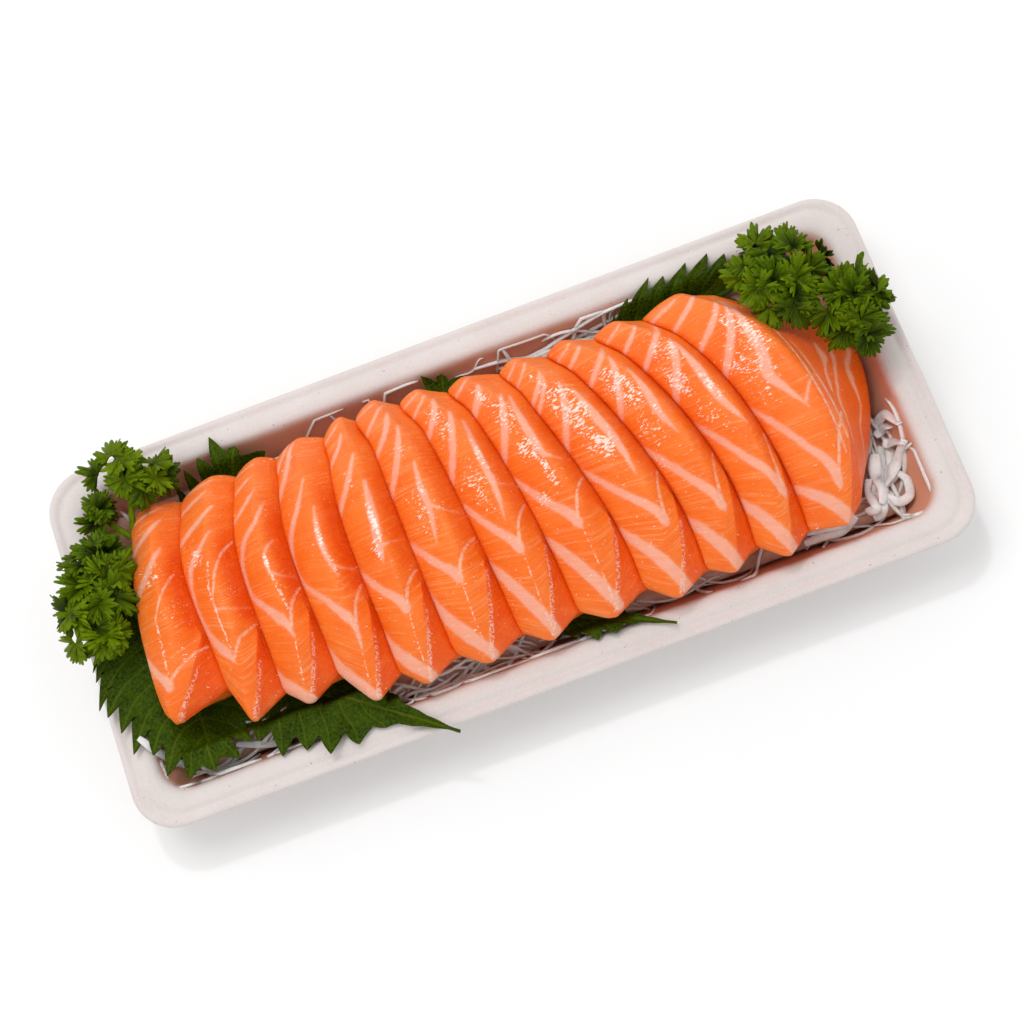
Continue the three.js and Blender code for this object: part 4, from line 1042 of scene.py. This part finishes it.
def parsley_piece(name, material):
    centre, radii, turn, seed, rosettes, stem = PARSLEY[name]
    centre, radii = np.array(centre, float), np.array(radii, float)
    rng = np.random.default_rng(seed)
    c, s = math.cos(math.radians(turn)), math.sin(math.radians(turn))
    place = np.array([[c, -s, 0], [s, c, 0], [0, 0, 1]])
    heap = Heap()
    for i in range(rosettes):
        # rosettes overlap like shingles from the waist of the sprig up to its top
        add_rosette(heap, rng, mix(-0.05, 0.98, (i + 0.5) / rosettes), i, centre, radii, place)
    # a lumpy heart behind the leaflets, coloured near black as painted shade between them, and the stem
    phi = np.linspace(0.02, math.pi - 0.02, 14)[:, None]
    theta = np.linspace(0, 2 * math.pi, 20, endpoint=False)[None, :]
    ball = np.broadcast_arrays(np.sin(phi) * np.cos(theta), np.sin(phi) * np.sin(theta), np.cos(phi))
    ball = np.stack(ball, -1)
    lump = 0.5 + 0.07 * wave_noise(ball * 3, seed)[..., None]
    heap.add(*lofted(centre + (ball * radii * lump) @ place.T), (0.0, 0.5))
    path = smooth_path(stem, 12)
    heap.add(*lofted(tube_rings(path, np.linspace(1.0, 0.7, len(path)), 8)), (0.8, 1.4))
    return heap.piece(name + "_sprig", material, "parsley", [name], ("depth", "tone"))


def parsley_material():
    n = Nodes("curly parsley")
    p = n.position()
    depth, tone = n.attribute("depth"), n.attribute("tone")
    # painted shade and light: near black in the heart and at the leaflets' roots, brightest at their tips
    colour = n.ramp(depth, [(0.0, srgb(10, 14, 0)), (0.35, srgb(42, 58, 0)), (1.0, srgb(90, 116, 0))])
    colour = n.blend(n.range(tone, 0.3, 1.1, 0, 0.5), colour, srgb(126, 150, 0))
    colour = n.blend(n.range(n.noise(p, 0.7, 3), 0.45, 0.7, 0, 0.45), colour, srgb(44, 60, 0))
    return n.shade(Base_Color=colour, Roughness=n.range(n.noise(p, 1.4, 2), 0.3, 0.7, 0.36, 0.6),
                   Specular_IOR_Level=0.08, Subsurface_Weight=0.12, Subsurface_Radius=(0.3, 0.8, 0.1),
                   Subsurface_Scale=0.001, Normal=n.bump(n.noise(p, 2.6, 3, 0.6), 0.0003))


# ---- daikon ----------------------------------------------------------------------------------
CORE_INSET = 13.9          # from the rim edge to the top edge of the daikon's core
CORE_RING = {"r": 8, "arc": 8, "long": 60, "short": 26}
CORE_SHARES = (1, 0.985, 0.96, 0.93, 0.89, 0.84, 0.76, 0.64, 0.5, 0.32, 0.15)     # its rings, inwards


def heap_top(x, y):
    """Height of the daikon's own core."""
    edge_x, edge_y = TRAY_L / 2 - CORE_INSET, TRAY_W / 2 - CORE_INSET
    share = np.maximum((np.abs(x) + 2.2 * smooth((x - 90) / 14)) / edge_x, np.abs(y) / edge_y)
    lump = 0.35 * np.sin(x * 0.55) * np.sin(y * 0.7 + x * 0.21)
    low = 3.0 * smooth((share - 0.94) / 0.06) + 0.9 * smooth((share - 0.8) / 0.14)
    return np.minimum(bed_z(x, y) - 3.7, 16.3) + lump - low


def add_core(heap):
    """The matted heap under the strands."""
    rings = []
    for inset, z in ((40, FLOOR_Z + 0.05), (18.4, FLOOR_Z + 0.6)):
        flat = rounded_rectangle(TRAY_L / 2 - inset, TRAY_W / 2 - inset, **CORE_RING)
        rings.append(np.column_stack([flat, np.full(len(flat), z)]))
    edge = rounded_rectangle(TRAY_L / 2 - CORE_INSET, TRAY_W / 2 - CORE_INSET, **CORE_RING)
    for f in CORE_SHARES:
        x, y = edge[:, 0] * mix(0.45, 1, f), edge[:, 1] * f
        z = heap_top(x, y) + 0.5 * wave_noise(np.stack([x, y, 0 * x], -1) * 0.8, 3)
        rings.append(np.column_stack([x, y, z]))
    heap.add(*lofted(np.array(rings)), (0.5, 0.0))


# where strands show: x range, y range, strands, heading in degrees, height over the core, radius
STRAND_ZONES = [
    ((-56, 40), (-43.5, -33), 46, 0, 2.4, 0.5), ((40, 92), (-41, -33), 10, 0, 1.2, 0.5),
    ((96, 106), (-40, -12), 10, 80, 1.5, 0.6), ((20, 76), (34, 41), 22, 0, 1.6, 0.5),
    ((-70, 10), (30, 41), 8, 0, 1.0, 0.45),
    ((-113, -62), (-43.5, -33), 16, -8, 1.6, 0.5), ((-114, -98), (-34, 34), 14, 90, 1.0, 0.5)]
MOST_X, MOST_Y = 112.5, 45      # strands stay within these
WALL_INSET = 10.2               # and this far in from the rim edge


def strand_ground(x, y):
    """Height at which a strand lies on the core or on the tray's wall."""
    return np.maximum(heap_top(x, y) + 0.5, tray_top(inset_of(x, y)) + 0.8)


def add_strand(heap, rng, zone):
    (x0, x1), (y0, y1), _, heading, lift, thick = zone
    half = rng.uniform(7, 17)
    a = math.radians(heading + rng.normal() * 24)
    t = np.linspace(-1, 1, 15)
    bend, wiggle = rng.uniform(-6, 6), rng.uniform(0.4, 1.4)
    phase = rng.uniform(0, 6.3)
    along = t * half
    over = bend * (1 - t * t) + wiggle * np.sin(t * rng.uniform(2, 5) + phase)
    x = rng.uniform(x0, x1) + along * math.cos(a) - over * math.sin(a)
    y = rng.uniform(y0, y1) + along * math.sin(a) + over * math.cos(a)
    x, y = clamp(x, -MOST_X, MOST_X), clamp(y, -MOST_Y, MOST_Y)
    short = clamp(WALL_INSET - inset_of(x, y), 0, 9)
    x, y = x - np.sign(x) * short * (np.abs(x) > 104), y - np.sign(y) * short * (np.abs(y) > 36)
    z = strand_ground(x, y) + lift * rng.uniform(0, 1) ** 1.4 * (1 - t ** 4) + 0.5 * np.sin(2.3 * t + phase)
    # under the row it stays below the slices
    z = np.where(climb(x, y) < 0.4, np.minimum(z, bed_z(x, y) - 1.0), z)
    radius = thick * rng.uniform(0.8, 1.35) * (1 - 0.4 * t ** 6)
    rings = tube_rings(np.stack([x, y, z], -1), radius, 6, rng.uniform(0.5, 0.95), rng.uniform(-2, 2))
    heap.add(*lofted(rings), (rng.uniform(), 1.0))


# the broad ribbons at the right end and the long strands in the far gap: half width, points (x, y)
RIBBONS = [
    (1.7, [(105, -12.5), (108, -12.5), (109.5, -17.5)]),
    (1.5, [(103.5, -16), (106.5, -15), (107.5, -16.5)]),
    (2.1, [(101, -21.5), (99, -26.5), (98.5, -32.5), (96.5, -36.5)]),
    (1.8, [(96.5, -28), (95, -33), (94.5, -37), (92, -37)]),
    (2.2, [(104.5, -19.5), (102.5, -22), (101.5, -27.5), (97.5, -32), (96, -37.5), (93.5, -38)]),
    (1.9, [(106, -20), (105, -24.5), (101.5, -28)]),
    (1.7, [(109, -22), (105.5, -26), (101, -29.5), (96.5, -33)]),
    (1.8, [(104.5, -19), (107, -20.5), (108.5, -23)]),
    (1.3, [(104.5, -28.5), (102.5, -29.5), (99, -31.5)]),
    (1.4, [(105, -28.5), (106.5, -31.5), (105, -36), (101, -37), (99, -34.5)]),
    (1.2, [(75, -36), (80.5, -37), (86.5, -38)]),
    (1.3, [(73.5, -38.5), (78, -38.5), (84, -39), (89, -37)]),
    (1.1, [(-112, -22), (-108, -29), (-101, -34), (-92, -36.5)]),
    (1.1, [(-109, -24), (-104, -31), (-96, -35)]), (1.2, [(-113, -27), (-107, -34.5), (-98, -37.5)]),
    (1.1, [(-90, -36), (-80, -39), (-70, -38)]),
    (0.7, [(6, 41.5), (14.5, 41.2), (23, 40.2), (32.5, 41.2), (45, 42.6), (57.5, 43)]),
    (0.6, [(12, 40.4), (18, 39.6), (27, 39.4), (38, 40.6), (50, 41.6)])]


def add_ribbon(heap, rng, i, half, line):
    path = smooth_path([(x, y, 0) for x, y in line], 8 * len(line))
    lift, flat = (1.0 + 0.55 * (i % 4), 0.32) if half > 1 else (1.2, 0.8)
    wave = 0.5 * np.sin(np.linspace(0, 7, len(path)) + i)
    path[:, 2] = strand_ground(path[:, 0], path[:, 1]) + lift + wave
    ends = np.sin(np.linspace(0.25, math.pi - 0.25, len(path))) ** 0.35
    heap.add(*lofted(tube_rings(path, half * ends, 10, flat, rng.uniform(-1, 1))), (1.0, 1.0))


DAIKON_SEED = 33


def daikon_piece(material):
    rng = np.random.default_rng(DAIKON_SEED)
    heap = Heap()
    add_core(heap)
    for zone in STRAND_ZONES:
        for _ in range(zone[2]):
            add_strand(heap, rng, zone)
    for i, (half, line) in enumerate(RIBBONS):
        add_ribbon(heap, rng, i, half, line)
    return heap.piece("daikon_strands", material, "daikon", ["daikon_bed"], ("tone", "loose"))


def daikon_material():
    n = Nodes("shredded daikon")
    p = n.position()
    colour = n.ramp(n.attribute("tone"),
                    [(0.0, srgb(220, 210, 202)), (0.5, srgb(234, 229, 224)), (1.0, srgb(244, 242, 239))])
    colour = n.blend(n.range(n.noise(p, 0.7, 3), 0.35, 0.7, 0, 0.22), colour, srgb(206, 184, 168))
    # the matted heap between the strands is browner: partly stained by the fish, partly painted shade in the
    # gaps
    stain_and_shade = n.ramp(n.noise(p, 0.12, 3), [(0.3, srgb(180, 112, 84)), (0.7, srgb(214, 170, 150))])
    colour = n.blend(n.range(n.attribute("loose"), 0.6, 0.2, 0, 0.9), colour, stain_and_shade)
    return n.shade(Base_Color=colour, Roughness=n.range(n.noise(p, 1.4, 2), 0.3, 0.7, 0.3, 0.5),
                   Subsurface_Weight=0.5, Subsurface_Radius=(1.0, 0.8, 0.65), Subsurface_Scale=0.0022,
                   Normal=n.bump(n.noise(p, 2.2, 3, 0.6), 0.0004))


# ---- stage -----------------------------------------------------------------------------------
def place_on_stage(obj, right, top, back, at):
    """Adds an object with these axes and this origin, in metres."""
    obj.matrix_world = Matrix([[right[i], top[i], back[i], at[i]] for i in range(3)] + [[0, 0, 0, 1]])
    bpy.context.scene.collection.objects.link(obj)


def make_camera():
    el, az, roll = (math.radians(a) for a in (CAMERA_ELEVATION, CAMERA_AZIMUTH, CAMERA_ROLL))
    back = np.array([math.sin(az) * math.cos(el), -math.cos(az) * math.cos(el), math.sin(el)])
    level = np.array([math.cos(az), math.sin(az), 0.0])
    right = math.cos(roll) * level + math.sin(roll) * np.cross(back, level)
    data = bpy.data.cameras.new("camera")
    data.lens, data.sensor_width = CAMERA_LENS, CAMERA_SENSOR
    data.clip_start, data.clip_end = CAMERA_REACH
    camera = bpy.data.objects.new("camera", data)
    place_on_stage(camera, right, np.cross(back, right), back, np.array(CAMERA_AT) * MM)
    bpy.context.scene.camera = camera


def area_light(name, direction, distance, size, power):
    data = bpy.data.lights.new(name, "AREA")
    data.shape, data.size, data.energy = "DISK", size, power
    back = unit(np.array(direction, float))
    right = unit(np.cross([0.0, 0.0, 1.0], back))
    place_on_stage(bpy.data.objects.new(name, data), right, np.cross(back, right), back, back * distance)


def make_stage():
    n = Nodes("pale floor")
    pale = n.ramp(n.noise(n.position(), 0.02, 2), [(0, (0.92, 0.92, 0.92)), (1, (0.94, 0.94, 0.94))])
    mesh = bpy.data.meshes.new("floor")
    corners = [(x * FLOOR_HALF, y * FLOOR_HALF, 0) for x, y in ((-1, -1), (1, -1), (1, 1), (-1, 1))]
    mesh.from_pydata(corners, [], [(0, 1, 2, 3)])
    floor = bpy.data.objects.new("floor", mesh)
    mesh.materials.append(n.shade(Base_Color=pale, Roughness=0.9))
    bpy.context.scene.collection.objects.link(floor)
    world = bpy.data.worlds.new("studio")
    world.use_nodes = True
    background = world.node_tree.nodes["Background"]
    background.inputs["Color"].default_value = (1, 1, 1, 1)
    background.inputs["Strength"].default_value = WORLD_STRENGTH
    bpy.context.scene.world = world
    for name, light in LIGHTS.items():
        area_light(name, *light)
    bpy.context.scene.view_settings.view_transform = "Standard"
    bpy.context.scene.view_settings.look = "None"


make_camera()
make_stage()
tray_piece(tray_material())
salmon = salmon_material()
for k in range(1, SLICES + 1):
    slice_piece(k, salmon)
shiso = shiso_material()
for name in LEAVES:
    leaf_piece(name, shiso)
parsley = parsley_material()
for name in PARSLEY:
    parsley_piece(name, parsley)
daikon_piece(daikon_material())
